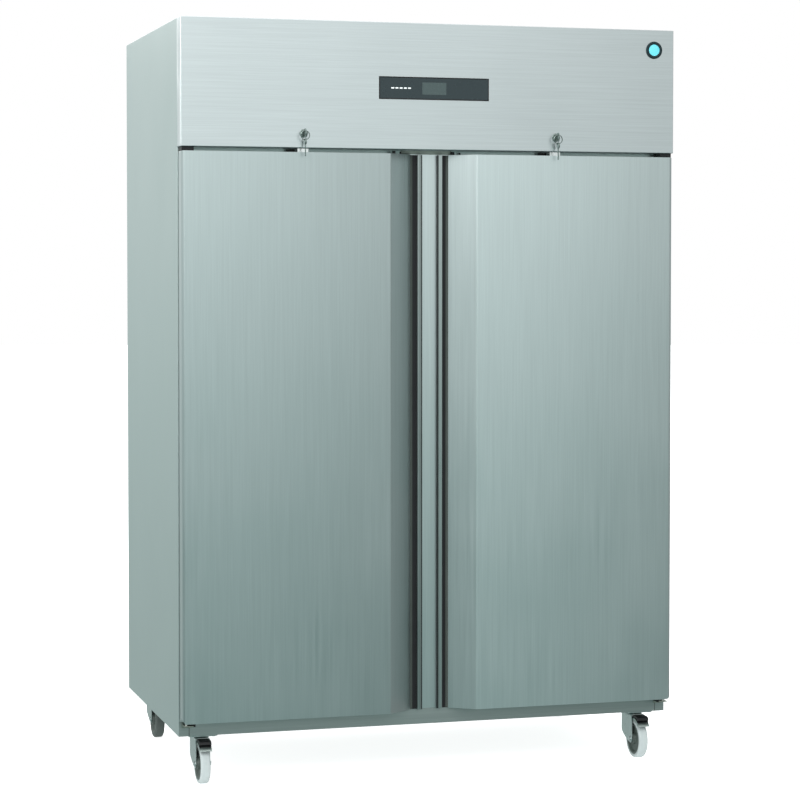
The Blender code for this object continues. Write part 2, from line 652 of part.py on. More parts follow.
def make_brake(name, x, axle_y, swivel):
    """Foot pedal that hangs between the fork arms, over the top of the wheel."""
    y = axle_y + BRAKE_PIVOT_AHEAD
    z = BRAKE_PIVOT_Z
    hinge = pivot(name + "_brake_axis", (x, y, z), swivel)
    side_view = [(y + dy, z + dz) for dy, dz in PEDAL_SIDE_VIEW]
    pedal = prism(side_view, "X", x - PEDAL_HALF_WIDTH, x + PEDAL_HALF_WIDTH)
    pin_reach = FORK_ARM_INNER - CLEARANCE
    pin = rod("X", (y, z), BRAKE_PIN_RADIUS, x - pin_reach, x + pin_reach, 12)
    shoe = block((x - SHOE_HALF_WIDTH, x + SHOE_HALF_WIDTH), (y + SHOE_FRONT, y + SHOE_BACK),
                 (z - SHOE_HALF_THICKNESS, z + SHOE_HALF_THICKNESS))
    piece(name + "_brake", joined(pedal, shoe, pin), "bright_steel", hinge)


def runner_levels():
    return [above_base(FLOOR_TOP) + RUNNER_PITCH * (step + 1) for step in range(RUNNER_COUNT)]


def make_racks():
    """Runner plates on the side walls and a two-sided rack in the middle, which carry the shelves."""
    low = above_base(FLOOR_TOP) + CLEARANCE
    high = runner_levels()[-1] + 0.040
    wall = HALF_WIDTH - WALL - 2 * CLEARANCE
    y_range = (behind(RACK_FRONT), behind(RACK_BACK))
    for side, sign in (("left", -1), ("right", 1)):
        plate_inner = wall - SHEET
        backing = block(sorted((sign * wall, sign * plate_inner)), y_range, (low, high))
        ledge_x = sorted((sign * (plate_inner + SHEET / 2), sign * (plate_inner - SIDE_RUNNER_REACH)))
        ledges = [block(ledge_x, y_range, (z - RUNNER_THICKNESS, z)) for z in runner_levels()]
        piece("shelf_rack_" + side, joined(backing, *ledges), "liner_steel")
    posts = [block((-POST_WIDTH / 2, POST_WIDTH / 2), (y, y + POST_WIDTH), (low, high))
             for y in (y_range[0] + 0.020, y_range[1] - 0.040)]
    ledges = [block((-CENTRE_RUNNER_REACH, CENTRE_RUNNER_REACH), y_range, (z - RUNNER_THICKNESS, z))
              for z in runner_levels()]
    piece("shelf_rack_centre", joined(posts[0], *ledges, posts[1]), "liner_steel")


def make_shelves():
    """Lift-out wire shelves, two in each half, resting on the runners."""
    y_mid = behind((RACK_FRONT + RACK_BACK) / 2)
    side_tip = HALF_WIDTH - WALL - 2 * CLEARANCE - SHEET - SIDE_RUNNER_REACH
    x_mid = (CENTRE_RUNNER_REACH + side_tip) / 2
    for side, sign in (("left", -1), ("right", 1)):
        for level, runner in SHELF_RUNNERS.items():
            z = runner_levels()[runner - 1] + CLEARANCE
            z_range = (z, z + SHELF_ROD)
            x0, x1 = sign * x_mid - SHELF_WIDTH / 2, sign * x_mid + SHELF_WIDTH / 2
            y0, y1 = y_mid - SHELF_DEPTH / 2, y_mid + SHELF_DEPTH / 2
            plate = block((x0, x1), (y0, y1), z_range)
            pitch = (SHELF_WIDTH - SHELF_ROD) / SHELF_BARS
            gap_starts = [x0 + SHELF_ROD + pitch * step for step in range(SHELF_BARS)]
            gaps = [block((start, start + pitch - SHELF_ROD), (y0 + SHELF_ROD, y1 - SHELF_ROD),
                          (z - 0.010, z + 0.020)) for start in gap_starts]
            piece("shelf_%s_%s" % (side, level), cut(plate, *gaps), "bright_steel")


def fan(axis, centre, radius, low, high, blades):
    """Hub and flat, pitched blades."""
    hub = rod(axis, centre, radius * 0.28, low, high, 24)
    middle = (low + high) / 2
    place = along(axis, *centre, middle)
    length = (centre[0] + radius * 0.2, centre[0] + radius)
    width = (centre[1] - radius * 0.24, centre[1] + radius * 0.24)
    thickness = (middle - 0.001, middle + 0.001)
    parts = []
    for step in range(blades):
        blade = block(length, thickness, width) if axis == "Y" else block(length, width, thickness)
        rotate_mesh(blade, radians(22), "X", place)
        parts.append(rotate_mesh(blade, 2 * pi * step / blades, axis, place))
    return joined(hub, *parts)


def fins(x_range, y_range, z_range, count):
    """A finned coil block: a comb-shaped outline, swept upwards."""
    pitch = (x_range[1] - x_range[0]) / count
    spine = y_range[1] - 0.012
    outline = [(x_range[1], y_range[1]), (x_range[0], y_range[1])]
    for step in range(count):
        x = x_range[0] + pitch * step
        outline += [(x, y_range[0]), (x + pitch * 0.35, y_range[0]), (x + pitch * 0.35, spine),
                    (x + pitch, spine)]
    outline[-1] = (x_range[1], spine)
    return prism(outline, "Z", *z_range)


def make_compressor(floor):
    """Welded pot on a sole plate with four rubber feet, and its terminal box."""
    x, y = COMPRESSOR_X, behind(COMPRESSOR_DEPTH)
    radius = COMPRESSOR_RADIUS
    top = floor + COMPRESSOR_HEIGHT
    pot = turned([(0.0, floor + 0.018), (radius * 0.7, floor + 0.018), (radius, floor + 0.055),
                  (radius, top - 0.060), (radius * 0.8, top - 0.020), (radius * 0.35, top), (0.0, top)],
                 "Z", (x, y), 24)
    sole = block((x - 0.115, x + 0.115), (y - 0.075, y + 0.075), (floor + 0.012, floor + 0.020))
    feet = [rod("Z", (x + dx, y + dy), 0.014, floor, floor + 0.014, 12)
            for dx in (-0.098, 0.098) for dy in (-0.058, 0.058)]
    terminal = block((x + radius - 0.010, x + radius + 0.030), (y - 0.030, y + 0.030),
                     (floor + 0.070, floor + 0.130))
    piece("compressor", joined(pot, sole, *feet, terminal), "black_paint")


def make_condenser(floor):
    """Finned coil with the shroud of its fan, and the fan."""
    x, z = CONDENSER_X, floor + CONDENSER_FAN_RISE
    front = behind(CONDENSER_FRONT)
    coil = fins((x - CONDENSER_HALF_WIDTH, x + CONDENSER_HALF_WIDTH), (front, front + CONDENSER_THICKNESS),
                (floor, floor + CONDENSER_HEIGHT), CONDENSER_FINS)
    inner = CONDENSER_FAN_RADIUS + 0.006
    outer = inner + SHROUD_WALL
    start = front + CONDENSER_THICKNESS - 0.004
    end = front + SHROUD_BACK
    shroud = turned([(inner, start), (outer, start), (outer, end), (inner, end)], "Y", (x, z))
    piece("condenser", joined(coil, shroud), "aluminium")
    fan_low, fan_high = front + 0.078, front + 0.106
    spin = pivot("condenser_fan_axis", (x, (fan_low + fan_high) / 2, z))
    blades = fan("Y", (x, z), CONDENSER_FAN_RADIUS - 0.004, fan_low, fan_high, FAN_BLADES)
    piece("condenser_fan", blades, "black_plastic", spin)


def make_evaporator():
    """Finned coil, fan and hanging cover under the ceiling of the cold room."""
    top = above_base(CEILING_BOTTOM) - CLEARANCE
    coil_y = (behind(EVAPORATOR_FRONT), behind(EVAPORATOR_BACK))
    coil = fins((-EVAPORATOR_HALF_WIDTH, EVAPORATOR_HALF_WIDTH), coil_y, (top - EVAPORATOR_HEIGHT, top),
                EVAPORATOR_FINS)
    piece("evaporator", coil, "aluminium")

    low = top - EVAPORATOR_COVER_DEPTH
    fan_centre = (0.0, behind(EVAPORATOR_FAN_DEPTH))
    tray = block((-COVER_HALF_WIDTH, COVER_HALF_WIDTH), (behind(COVER_FRONT), behind(COVER_BACK)), (low, top))
    hollow = block((-COVER_HALF_WIDTH + SHEET, COVER_HALF_WIDTH - SHEET),
                   (behind(COVER_FRONT + SHEET), behind(COVER_BACK - SHEET)), (low + SHEET, top + 0.010))
    throat = rod("Z", fan_centre, EVAPORATOR_FAN_RADIUS + 0.004, low - 0.010, low + 0.010)
    vent_starts = [behind(0.620) + 0.040 * step for step in range(3)]
    vents = [block((-COVER_HALF_WIDTH - 0.010, COVER_HALF_WIDTH + 0.010), (start, start + 0.020),
                   (low + 0.030, low + 0.090)) for start in vent_starts]
    piece("evaporator_cover", cut(tray, hollow, throat, *vents), "liner_steel")
    fan_low, fan_high = low + 0.010, low + 0.034
    spin = pivot("evaporator_fan_axis", (*fan_centre, (fan_low + fan_high) / 2))
    blades = fan("Z", fan_centre, EVAPORATOR_FAN_RADIUS - 0.004, fan_low, fan_high, FAN_BLADES)
    piece("evaporator_fan", blades, "black_plastic", spin)


def make_castors():
    rows = (("front", behind(FRONT_STEP + CASTOR_END_INSET), True),
            ("rear", behind(DEPTH - CASTOR_END_INSET), False))
    for row, swivel_y, has_brake in rows:
        for side, sign in (("left", -1), ("right", 1)):
            x = sign * (HALF_WIDTH - CASTOR_SIDE_INSET)
            make_castor("castor_%s_%s" % (row, side), x, swivel_y, has_brake)


def main():
    remove_scene_objects()
    make_body()
    make_fascia()
    for side, sign in (("left", -1), ("right", 1)):
        make_door(side, sign)
        make_hinges(side, sign)
        make_lock(side)
    make_racks()
    make_shelves()
    make_evaporator()
    machine_room_floor = above_base(CEILING_TOP) + CLEARANCE
    make_compressor(machine_room_floor)
    make_condenser(machine_room_floor)
    make_castors()


main()
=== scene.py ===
"""Looks of a two-door upright reach-in refrigerator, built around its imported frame.

Metres, +Z up. The front faces -Y, and +X is to the right of someone who faces it. Shapes are made as
meshes in the frame's own coordinates, and each one then rides on the body that it belongs to.
"""

from math import cos, pi, radians, sin

import bmesh
import bpy
from mathutils import Matrix, Vector


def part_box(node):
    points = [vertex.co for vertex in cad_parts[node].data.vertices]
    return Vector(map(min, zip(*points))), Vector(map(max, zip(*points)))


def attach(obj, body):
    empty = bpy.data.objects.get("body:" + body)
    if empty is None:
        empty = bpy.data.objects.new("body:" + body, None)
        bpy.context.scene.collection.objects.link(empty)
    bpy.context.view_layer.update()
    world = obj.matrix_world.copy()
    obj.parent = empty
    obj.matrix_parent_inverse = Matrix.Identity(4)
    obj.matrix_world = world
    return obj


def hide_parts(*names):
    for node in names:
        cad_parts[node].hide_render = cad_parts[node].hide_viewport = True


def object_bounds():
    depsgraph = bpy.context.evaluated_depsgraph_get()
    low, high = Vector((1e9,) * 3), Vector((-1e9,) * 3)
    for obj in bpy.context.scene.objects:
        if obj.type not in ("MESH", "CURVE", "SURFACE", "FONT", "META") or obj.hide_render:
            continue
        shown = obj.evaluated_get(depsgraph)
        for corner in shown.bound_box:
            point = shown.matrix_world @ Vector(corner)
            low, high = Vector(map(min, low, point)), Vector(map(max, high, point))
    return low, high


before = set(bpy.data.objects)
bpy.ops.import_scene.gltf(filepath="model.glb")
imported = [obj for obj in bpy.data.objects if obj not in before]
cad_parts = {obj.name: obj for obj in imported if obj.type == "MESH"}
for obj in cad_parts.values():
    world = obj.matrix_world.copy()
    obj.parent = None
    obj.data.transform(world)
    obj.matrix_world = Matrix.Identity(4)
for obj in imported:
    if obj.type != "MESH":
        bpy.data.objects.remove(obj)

CAD_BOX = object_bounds()
SIDES = (("left", -1), ("right", 1))
ROUND = 40

# Camera: a long lens at a little above chest height, to the left of the front
CAMERA_PLACE = (-1.892, -6.613, 1.3745)
CAMERA_YAW = radians(16.135)
CAMERA_PITCH = radians(1.861)
CAMERA_LENS = 107.0
CAMERA_SHIFT = -0.06

# Doors: distances from the centre line, and behind the front face
FACET_START = 0.122
FACET_END = 0.0545
FACET_DEPTH = 0.047
FACET_SHEET = 0.001
MASK_INNER = 0.04
SHELL_CORNER = 0.0135
SHELL_EDGE = 0.009
GRIP_FLOOR_EDGE = 0.052
GRIP_OVERHANG = 0.002
FOLD_FOOT = 0.0478
LIP_SHEET = 0.0012
LIP_DEPTH = 0.0125
LIP_WIDTH = 0.0115
LINER_RECESS = 0.004
LINER_BORDER = 0.045
GASKET_WIDTH = 0.014
# Where each door's top pad is, how wide, where its stud is, and how far both are behind the front face
TOP_PADS = {"left": (-0.1068, 0.0090, -0.0879, 0.028), "right": (0.0655, 0.0100, 0.0860, 0.0435)}

# How strongly the shading of a sheet bulges, and where the middle of a door is
DOOR_BOW = 0.13
FASCIA_BOW = 0.02
DOOR_MIDDLE = 0.410
# Of a door's brushed steel: how far its streaks show, how stretched its highlights are, and how it bulges
DOOR_BRUSHING = (0.045, 0.45, DOOR_BOW)

# Bottom hinges: the pin's place in from the side and behind the front face, and the bracket's leaf
HINGE_INSET = 0.0165
HINGE_DEPTH = 0.025
HINGE_BORE = 0.0046
LEAF_INNER = 0.667
LEAF_OUTER = 0.692
LEAF_GAP = 0.0064
LEAF_SHEET = 0.0030

# Sheets on the front of the body: distances from the centre line, and the seams in from the sides
MULLION_HALF = 0.0620
OLIVE_STRIP = (-0.0800, 0.0640)
RAIL_END = 0.659
PLINTH_SEAM = 0.0295
SEAM_GAP = 0.0016

# Control panel
BEZEL = 0.0028
DISPLAY_WIDTH = 0.068
DISPLAY_HEIGHT = 0.033
MARKS_CENTRE = -0.094
MARK_COUNT = 5
MARK_PITCH = 0.0118

# Locks: half a key's thickness, the eye above the middle of its bow, and the ring in it
KEY_HALF = 0.0010
EYE_RISE = 0.0062
RING_RADIUS = 0.012

# Castors: sheets, the plate's bolts from its middle, the brake's pivot behind the axle and over the floor
PLATE_SHEET = 0.004
FORK_SHEET = 0.003
BOLT_OFFSET = (0.030, 0.041)
BOLT_HEAD = 0.004
WHEEL_HALF = 0.0135
BRAKE_BEHIND_AXLE = 0.004
BRAKE_HEIGHT = 0.1127
PEDAL_HALF = 0.0165
CHEEK_SHEET = 0.0014

# Shelves, their racks and the fan's guard
WIRE_RADIUS = 0.0019
FRAME_WIRE_RADIUS = 0.0036
CROSS_WIRE_RADIUS = 0.0026
WIRE_PITCH = 0.026
RACK_SHEET = 0.0015
SLOT_PITCH = 0.05
SLOT_HALF = 0.009
SLOT_MARGIN = 0.06
GUARD_INNER = 0.022
GUARD_PITCH = 0.0175

# Screws: how far in from the edges of the cover and the rear panel, and how many in a row
SCREW_INSET = 0.018
SCREW_COUNT = 5

# Every finish by its short name, made once by make_finishes()
FINISHES = {}

# Studio light. By the sine of its height: its colour. By its bearing from the front, in degrees: its level,
# and how even it is from top to bottom.
WORLD_STRENGTH = 2.1
FLOOR_GLOW = 0.8
EVEN_LIGHT = (0.36, 0.385, 0.38)
HEIGHT_LIGHT = ((-1.0, (0.072, 0.113, 0.108)), (-0.15, (0.100, 0.155, 0.148)),
                (-0.05, (0.255, 0.328, 0.318)), (0.03, (0.54, 0.58, 0.58)), (0.12, (0.64, 0.65, 0.65)),
                (0.45, (0.66, 0.66, 0.66)), (0.80, (1.0, 1.0, 1.0)), (1.0, (1.0, 1.0, 1.0)))
BEARING_LIGHT = ((-180, 0.95), (-120, 0.85), (-52, 0.69), (-10, 1.06), (10, 0.96), (20, 0.84), (32, 0.57),
                 (45, 0.50), (85, 0.50), (130, 0.62), (180, 0.95))
BEARING_EVEN = ((-180, 0.5), (-120, 0.45), (-80, 0.0), (30, 0.0), (60, 0.85), (110, 0.85), (150, 0.6),
                (180, 0.6))


# ---------------------------------------------------------------- meshes

def mesh_from(work):
    """Close a bmesh into a mesh with its faces pointing out."""
    bmesh.ops.recalc_face_normals(work, faces=work.faces)
    made = bpy.data.meshes.new("shape")
    work.to_mesh(made)
    work.free()
    return made


def along(axis, first, second, distance):
    """A point from two coordinates across an axis and one along it."""
    if axis == "X":
        return (distance, first, second)
    if axis == "Y":
        return (first, distance, second)
    return (first, second, distance)


def prism(outline, axis, low, high):
    """A closed outline, swept straight along an axis."""
    work = bmesh.new()
    rings = [[work.verts.new(along(axis, a, b, end)) for a, b in outline] for end in (low, high)]
    work.faces.new(rings[0])
    work.faces.new(rings[1])
    for index in range(len(outline)):
        following = (index + 1) % len(outline)
        work.faces.new((rings[0][index], rings[0][following], rings[1][following], rings[1][index]))
    return mesh_from(work)


def slab(outline, axis, middle, half):
    """A closed outline, swept by the same distance to both sides of its middle."""
    return prism(outline, axis, middle - half, middle + half)


def block(x_range, y_range, z_range):
    (x0, x1), (y0, y1) = x_range, y_range
    return prism([(x0, y0), (x1, y0), (x1, y1), (x0, y1)], "Z", *z_range)


def circle(centre, radius, count=ROUND, turn=0.0):
    steps = [turn + 2 * pi * index / count for index in range(count)]
    return [(centre[0] + radius * cos(step), centre[1] + radius * sin(step)) for step in steps]


def arc(centre, radius, start, end, count=6):
    """Points on a circle from one angle to another, in degrees, both included."""
    steps = [radians(start + (end - start) * index / count) for index in range(count + 1)]
    return [(centre[0] + radius * cos(step), centre[1] + radius * sin(step)) for step in steps]


def shifted(outline, a, b):
    """An outline, moved to a place."""
    return [(a + first, b + second) for first, second in outline]


def mirrored(outline, sign):
    """An outline on the right of the centre line, or its mirror image on the left."""
    return [(sign * x, y) for x, y in outline]


def rounded(low, high, radius, count=6):
    """A rectangle with round corners, from its lowest and highest corners."""
    a0, b0 = low[0] + radius, low[1] + radius
    a1, b1 = high[0] - radius, high[1] - radius
    outline = []
    for index, centre in enumerate(((a1, b1), (a0, b1), (a0, b0), (a1, b0))):
        outline += arc(centre, radius, 90 * index, 90 * index + 90, count)
    return outline


def rod(axis, centre, radius, low, high, count=ROUND, turn=0.0):
    return prism(circle(centre, radius, count, turn), axis, low, high)


def turned(profile, axis, centre, count=ROUND, turn=0.0):
    """A profile of (radius, distance along the axis) pairs, turned once around the axis.

    A profile that starts and ends on the axis makes a solid, and any other one is closed into a ring.
    """
    work = bmesh.new()
    solid = profile[0][0] == 0.0 and profile[-1][0] == 0.0
    rings = []
    for radius, distance in profile:
        if radius == 0.0:
            ring = [work.verts.new(along(axis, *centre, distance))] * count
        else:
            outline = circle(centre, radius, count, turn)
            ring = [work.verts.new(along(axis, a, b, distance)) for a, b in outline]
        rings.append(ring)
    pairs = list(zip(rings, rings[1:]))
    if not solid:
        pairs.append((rings[-1], rings[0]))
    for lower, upper in pairs:
        for index in range(count):
            following = (index + 1) % count
            unique = list(dict.fromkeys([lower[index], lower[following], upper[following], upper[index]]))
            if len(unique) > 2:
                work.faces.new(unique)
    return mesh_from(work)


def tube(path, radius, count=10, closed=False):
    """A round wire along a list of points, mitred at each one."""
    points = [Vector(point) for point in path]
    total = len(points)
    work = bmesh.new()
    rings = []
    side = None
    for index, point in enumerate(points):
        before = points[index - 1] if closed or index > 0 else point
        after = points[(index + 1) % total] if closed or index < total - 1 else point
        into = (point - before).normalized() if point != before else (after - point).normalized()
        out = (after - point).normalized() if after != point else into
        direction = (into + out).normalized()
        if side is None:
            side = direction.orthogonal().normalized()
        side = (side - direction * side.dot(direction)).normalized()
        other = direction.cross(side)
        stretch = 1.0 / max(0.5, direction.dot(into))
        bend = out - into
        inward = bend.normalized() if bend.length > 1e-6 else None
        ring = []
        for a, b in circle((0.0, 0.0), radius, count):
            offset = side * a + other * b
            if inward:
                offset += inward * offset.dot(inward) * (stretch - 1.0)
            ring.append(work.verts.new(point + offset))
        rings.append(ring)
    pairs = list(zip(rings, rings[1:]))
    if closed:
        pairs.append((rings[-1], rings[0]))
    else:
        work.faces.new(rings[0])
        work.faces.new(rings[-1])
    for lower, upper in pairs:
        for index in range(count):
            following = (index + 1) % count
            work.faces.new((lower[index], lower[following], upper[following], upper[index]))
    return mesh_from(work)


def rim(profile, x_range, z_range):
    """A profile of (inset, y) points swept round a rectangle that faces the front, mitred at its corners."""
    (x0, x1), (z0, z1) = x_range, z_range
    work = bmesh.new()
    rings = []
    for x, sx, z, sz in ((x0, 1, z0, 1), (x1, -1, z0, 1), (x1, -1, z1, -1), (x0, 1, z1, -1)):
        rings.append([work.verts.new((x + sx * inset, y, z + sz * inset)) for inset, y in profile])
    for corner in range(4):
        lower, upper = rings[corner], rings[(corner + 1) % 4]
        for index in range(len(profile)):
            following = (index + 1) % len(profile)
            work.faces.new((lower[index], lower[following], upper[following], upper[index]))
    return mesh_from(work)


def combined(base, others, operation):
    """Join, cut away, or keep the common part of meshes with an exact Boolean."""
    holder = bpy.data.objects.new("holder", base)
    bpy.context.scene.collection.objects.link(holder)
    tools = []
    for index, other in enumerate(others):
        tool = bpy.data.objects.new("tool", other)
        bpy.context.scene.collection.objects.link(tool)
        step = holder.modifiers.new("step_%d" % index, "BOOLEAN")
        step.operation = operation
        step.solver = "EXACT"
        step.object = tool
        tools.append(tool)
    view = bpy.context.evaluated_depsgraph_get()
    result = bpy.data.meshes.new_from_object(holder.evaluated_get(view))
    for spent in [holder, *tools]:
        bpy.data.objects.remove(spent)
    return result


def joined(base, *others):
    return combined(base, others, "UNION")


def cut(base, *others):
    return combined(base, others, "DIFFERENCE")


def common(base, *others):
    return combined(base, others, "INTERSECT")


def together(*meshes):
    """Several closed shapes in one mesh."""
    work = bmesh.new()
    for mesh in meshes:
        work.from_mesh(mesh)
    made = bpy.data.meshes.new("shape")
    work.to_mesh(made)
    work.free()
    return made


def softened(mesh, width, segments=3, sharper_than=40):
    """Round every edge that folds by more than an angle."""
    work = bmesh.new()
    work.from_mesh(mesh)
    bmesh.ops.dissolve_limit(work, angle_limit=radians(0.5), verts=work.verts, edges=work.edges)
    folds = [e for e in work.edges if len(e.link_faces) == 2 and e.calc_face_angle() > radians(sharper_than)]
    bmesh.ops.bevel(work, geom=folds, offset=width, segments=segments, profile=0.5, affect="EDGES",
                    clamp_overlap=True)
    return mesh_from(work)


def moved(mesh, matrix):
    """A copy of a mesh, put somewhere else."""
    made = mesh.copy()
    made.transform(matrix)
    return made


def piece(name, mesh, finish, body, replaces=()):
    """A named piece of the object, which rides on a body and stands for the CAD nodes named."""
    mesh.materials.clear()
    mesh.materials.append(FINISHES[finish])
    mesh.shade_smooth()
    mesh.set_sharp_from_angle(angle=radians(32))
    mesh.name = name
    made = bpy.data.objects.new(name, mesh)
    bpy.context.scene.collection.objects.link(made)
    even = made.modifiers.new("even_shading", "WEIGHTED_NORMAL")
    even.keep_sharp = True
    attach(made, body)
    if replaces:
        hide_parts(*replaces)
    return made


def centre_of(node):
    low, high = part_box(node)
    return (low + high) / 2


# ---------------------------------------------------------------- materials

def new_finish(name, colour, roughness, metallic=0.0):
    """A material with a Principled shader, and the shader and the node tree to add detail to."""
    made = bpy.data.materials.new(name)
    made.use_nodes = True
    tree = made.node_tree
    shader = tree.nodes["Principled BSDF"]
    shader.inputs["Base Color"].default_value = (*colour, 1.0)
    shader.inputs["Roughness"].default_value = roughness
    shader.inputs["Metallic"].default_value = metallic
    return made, tree, shader


def feed(tree, node, inputs):
    """Set the named inputs of a shader node, or link a socket to them."""
    for name, value in inputs.items():
        if isinstance(value, bpy.types.NodeSocket):
            tree.links.new(value, node.inputs[name])
        else:
            node.inputs[name].default_value = value
    return node


def add_node(tree, kind, inputs):
    """A new shader node with its inputs set or linked."""
    return feed(tree, tree.nodes.new(kind), inputs)


def noise(tree, scale, stretch=(1.0, 1.0, 1.0), detail=3.0, roughness=0.5):
    """Solid noise in object coordinates, with about this many features in a metre along each axis."""
    place = tree.nodes.new("ShaderNodeTexCoord").outputs["Object"]
    mapping = add_node(tree, "ShaderNodeMapping", {"Vector": place, "Scale": stretch})
    texture = add_node(tree, "ShaderNodeTexNoise", {"Vector": mapping.outputs["Vector"], "Scale": scale,
                                                    "Detail": detail, "Roughness": roughness})
    return texture.outputs["Fac"]


def between(tree, value, low, high, start=0.3, end=0.7):
    """Spread a noise value over a range of numbers."""
    spread = add_node(tree, "ShaderNodeMapRange", {"Value": value, "From Min": start, "From Max": end,
                                                   "To Min": low, "To Max": high})
    return spread.outputs["Result"]


def maths(tree, operation, first, second):
    node = tree.nodes.new("ShaderNodeMath")
    node.operation = operation
    return feed(tree, node, {0: first, 1: second}).outputs["Value"]


def total(tree, *values):
    """The sum of several values."""
    result = values[0]
    for value in values[1:]:
        result = maths(tree, "ADD", result, value)
    return result


def mixed(tree, factor, first, second, blend="MIX"):
    """A mix of two colours."""
    mix = tree.nodes.new("ShaderNodeMix")
    mix.data_type = "RGBA"
    mix.blend_type = blend
    return feed(tree, mix, {"Factor": factor, "A": first, "B": second}).outputs["Result"]


def shaded(tree, shader, colour, factor, amount):
    """Vary the base colour between a darker and a lighter version of it."""
    dark = (*[c * (1.0 - amount) for c in colour], 1.0)
    light = (*[min(1.0, c * (1.0 + amount)) for c in colour], 1.0)
    feed(tree, shader, {"Base Color": mixed(tree, factor, dark, light)})


def bumped(tree, shader, height, distance):
    bump = add_node(tree, "ShaderNodeBump", {"Height": height, "Distance": distance})
    feed(tree, shader, {"Normal": bump.outputs["Normal"]})
    return bump


def grain(axis, across, lengthwise):
    """Stretch of a brushed grain: how many lines in a metre across it, and how many along the axis."""
    return tuple(lengthwise if name == axis else across for name in "XYZ")


def bowed(tree, centre, steepness):
    """Normals of a sheet that bulges a little across its width, as a foam-filled door's does."""
    place = tree.nodes.new("ShaderNodeTexCoord").outputs["Object"]
    split = add_node(tree, "ShaderNodeSeparateXYZ", {"Vector": place})
    offset = maths(tree, "SUBTRACT", maths(tree, "ABSOLUTE", split.outputs["X"], 0.0), centre)
    height = maths(tree, "MULTIPLY", maths(tree, "MULTIPLY", offset, offset), -steepness)
    return add_node(tree, "ShaderNodeBump", {"Height": height, "Distance": 1.0}).outputs["Normal"]


def brushed(name, colour, roughness, axis, visible=0.08, anisotropy=0.6, bow=0.0, centre=DOOR_MIDDLE):
    """Sheet steel with a brushed grain along an axis: hairlines, streaks, bands and a little mottling."""
    made, tree, shader = new_finish(name, colour, roughness, 1.0)
    hairs = noise(tree, 1.0, grain(axis, 1600.0, 9.0), 2.0)
    streaks = noise(tree, 1.0, grain(axis, 330.0, 4.0), 3.0, 0.6)
    bands = noise(tree, 1.0, grain(axis, 120.0, 2.2), 3.0, 0.6)
    cloud = noise(tree, 3.0, detail=2.0)
    layers = ((hairs, 0.25), (streaks, 0.40), (bands, 0.35))
    tone = total(tree, *[maths(tree, "MULTIPLY", layer, share) for layer, share in layers])
    shaded(tree, shader, colour, between(tree, tone, 0.0, 1.0, 0.38, 0.62), visible)
    rough = total(tree, between(tree, tone, -0.05, 0.05), between(tree, cloud, -0.025, 0.025), roughness)
    tangent = tree.nodes.new("ShaderNodeTangent")
    tangent.direction_type = "RADIAL"
    tangent.axis = "X" if axis == "X" else "Z"
    feed(tree, shader, {"Roughness": rough, "Anisotropic": anisotropy, "Tangent": tangent.outputs["Tangent"]})
    grain_bump = bumped(tree, shader, tone, 0.00003)
    if bow:
        feed(tree, grain_bump, {"Normal": bowed(tree, centre, bow)})
    return made


def plated(name, colour, roughness, wear=0.06):
    """Zinc-plated or machined steel: fine random scratches, cloudy roughness and a few dull spots."""
    made, tree, shader = new_finish(name, colour, roughness, 1.0)
    cloud = noise(tree, 60.0, detail=4.0)
    grit = noise(tree, 900.0, detail=2.0)
    shaded(tree, shader, colour, between(tree, cloud, 0.0, 1.0), wear)
    rough = total(tree, between(tree, cloud, -0.08, 0.10), between(tree, grit, -0.04, 0.04), roughness)
    feed(tree, shader, {"Roughness": rough})
    bumped(tree, shader, grit, 0.00004)
    return made


def moulded(name, colour, roughness, texture_scale=1400.0, depth=0.00006, variation=0.08, shine=0.5):
    """Plastic, rubber or paint: a fine moulded texture over slow changes in gloss and tone."""
    made, tree, shader = new_finish(name, colour, roughness)
    cloud = noise(tree, 25.0, detail=3.0)
    grit = noise(tree, texture_scale, detail=2.0)
    shaded(tree, shader, colour, between(tree, cloud, 0.0, 1.0), variation)
    rough = total(tree, between(tree, cloud, -0.06, 0.06), roughness)
    feed(tree, shader, {"Roughness": rough, "Specular IOR Level": shine})
    bumped(tree, shader, grit, depth)
    return made


def glassy(name, colour, roughness, coat=0.0, shine=0.5):
    """Dark glass or enamel, with a faint film of fingerprints in its gloss."""
    made, tree, shader = new_finish(name, colour, roughness)
    film = noise(tree, 45.0, detail=5.0, roughness=0.6)
    shaded(tree, shader, colour, between(tree, film, 0.0, 1.0), 0.05)
    gloss = between(tree, film, roughness * 0.7, roughness * 1.8, 0.35, 0.75)
    feed(tree, shader, {"Roughness": gloss, "Specular IOR Level": shine, "Coat Weight": coat,
                        "Coat Roughness": 0.04})
    return made


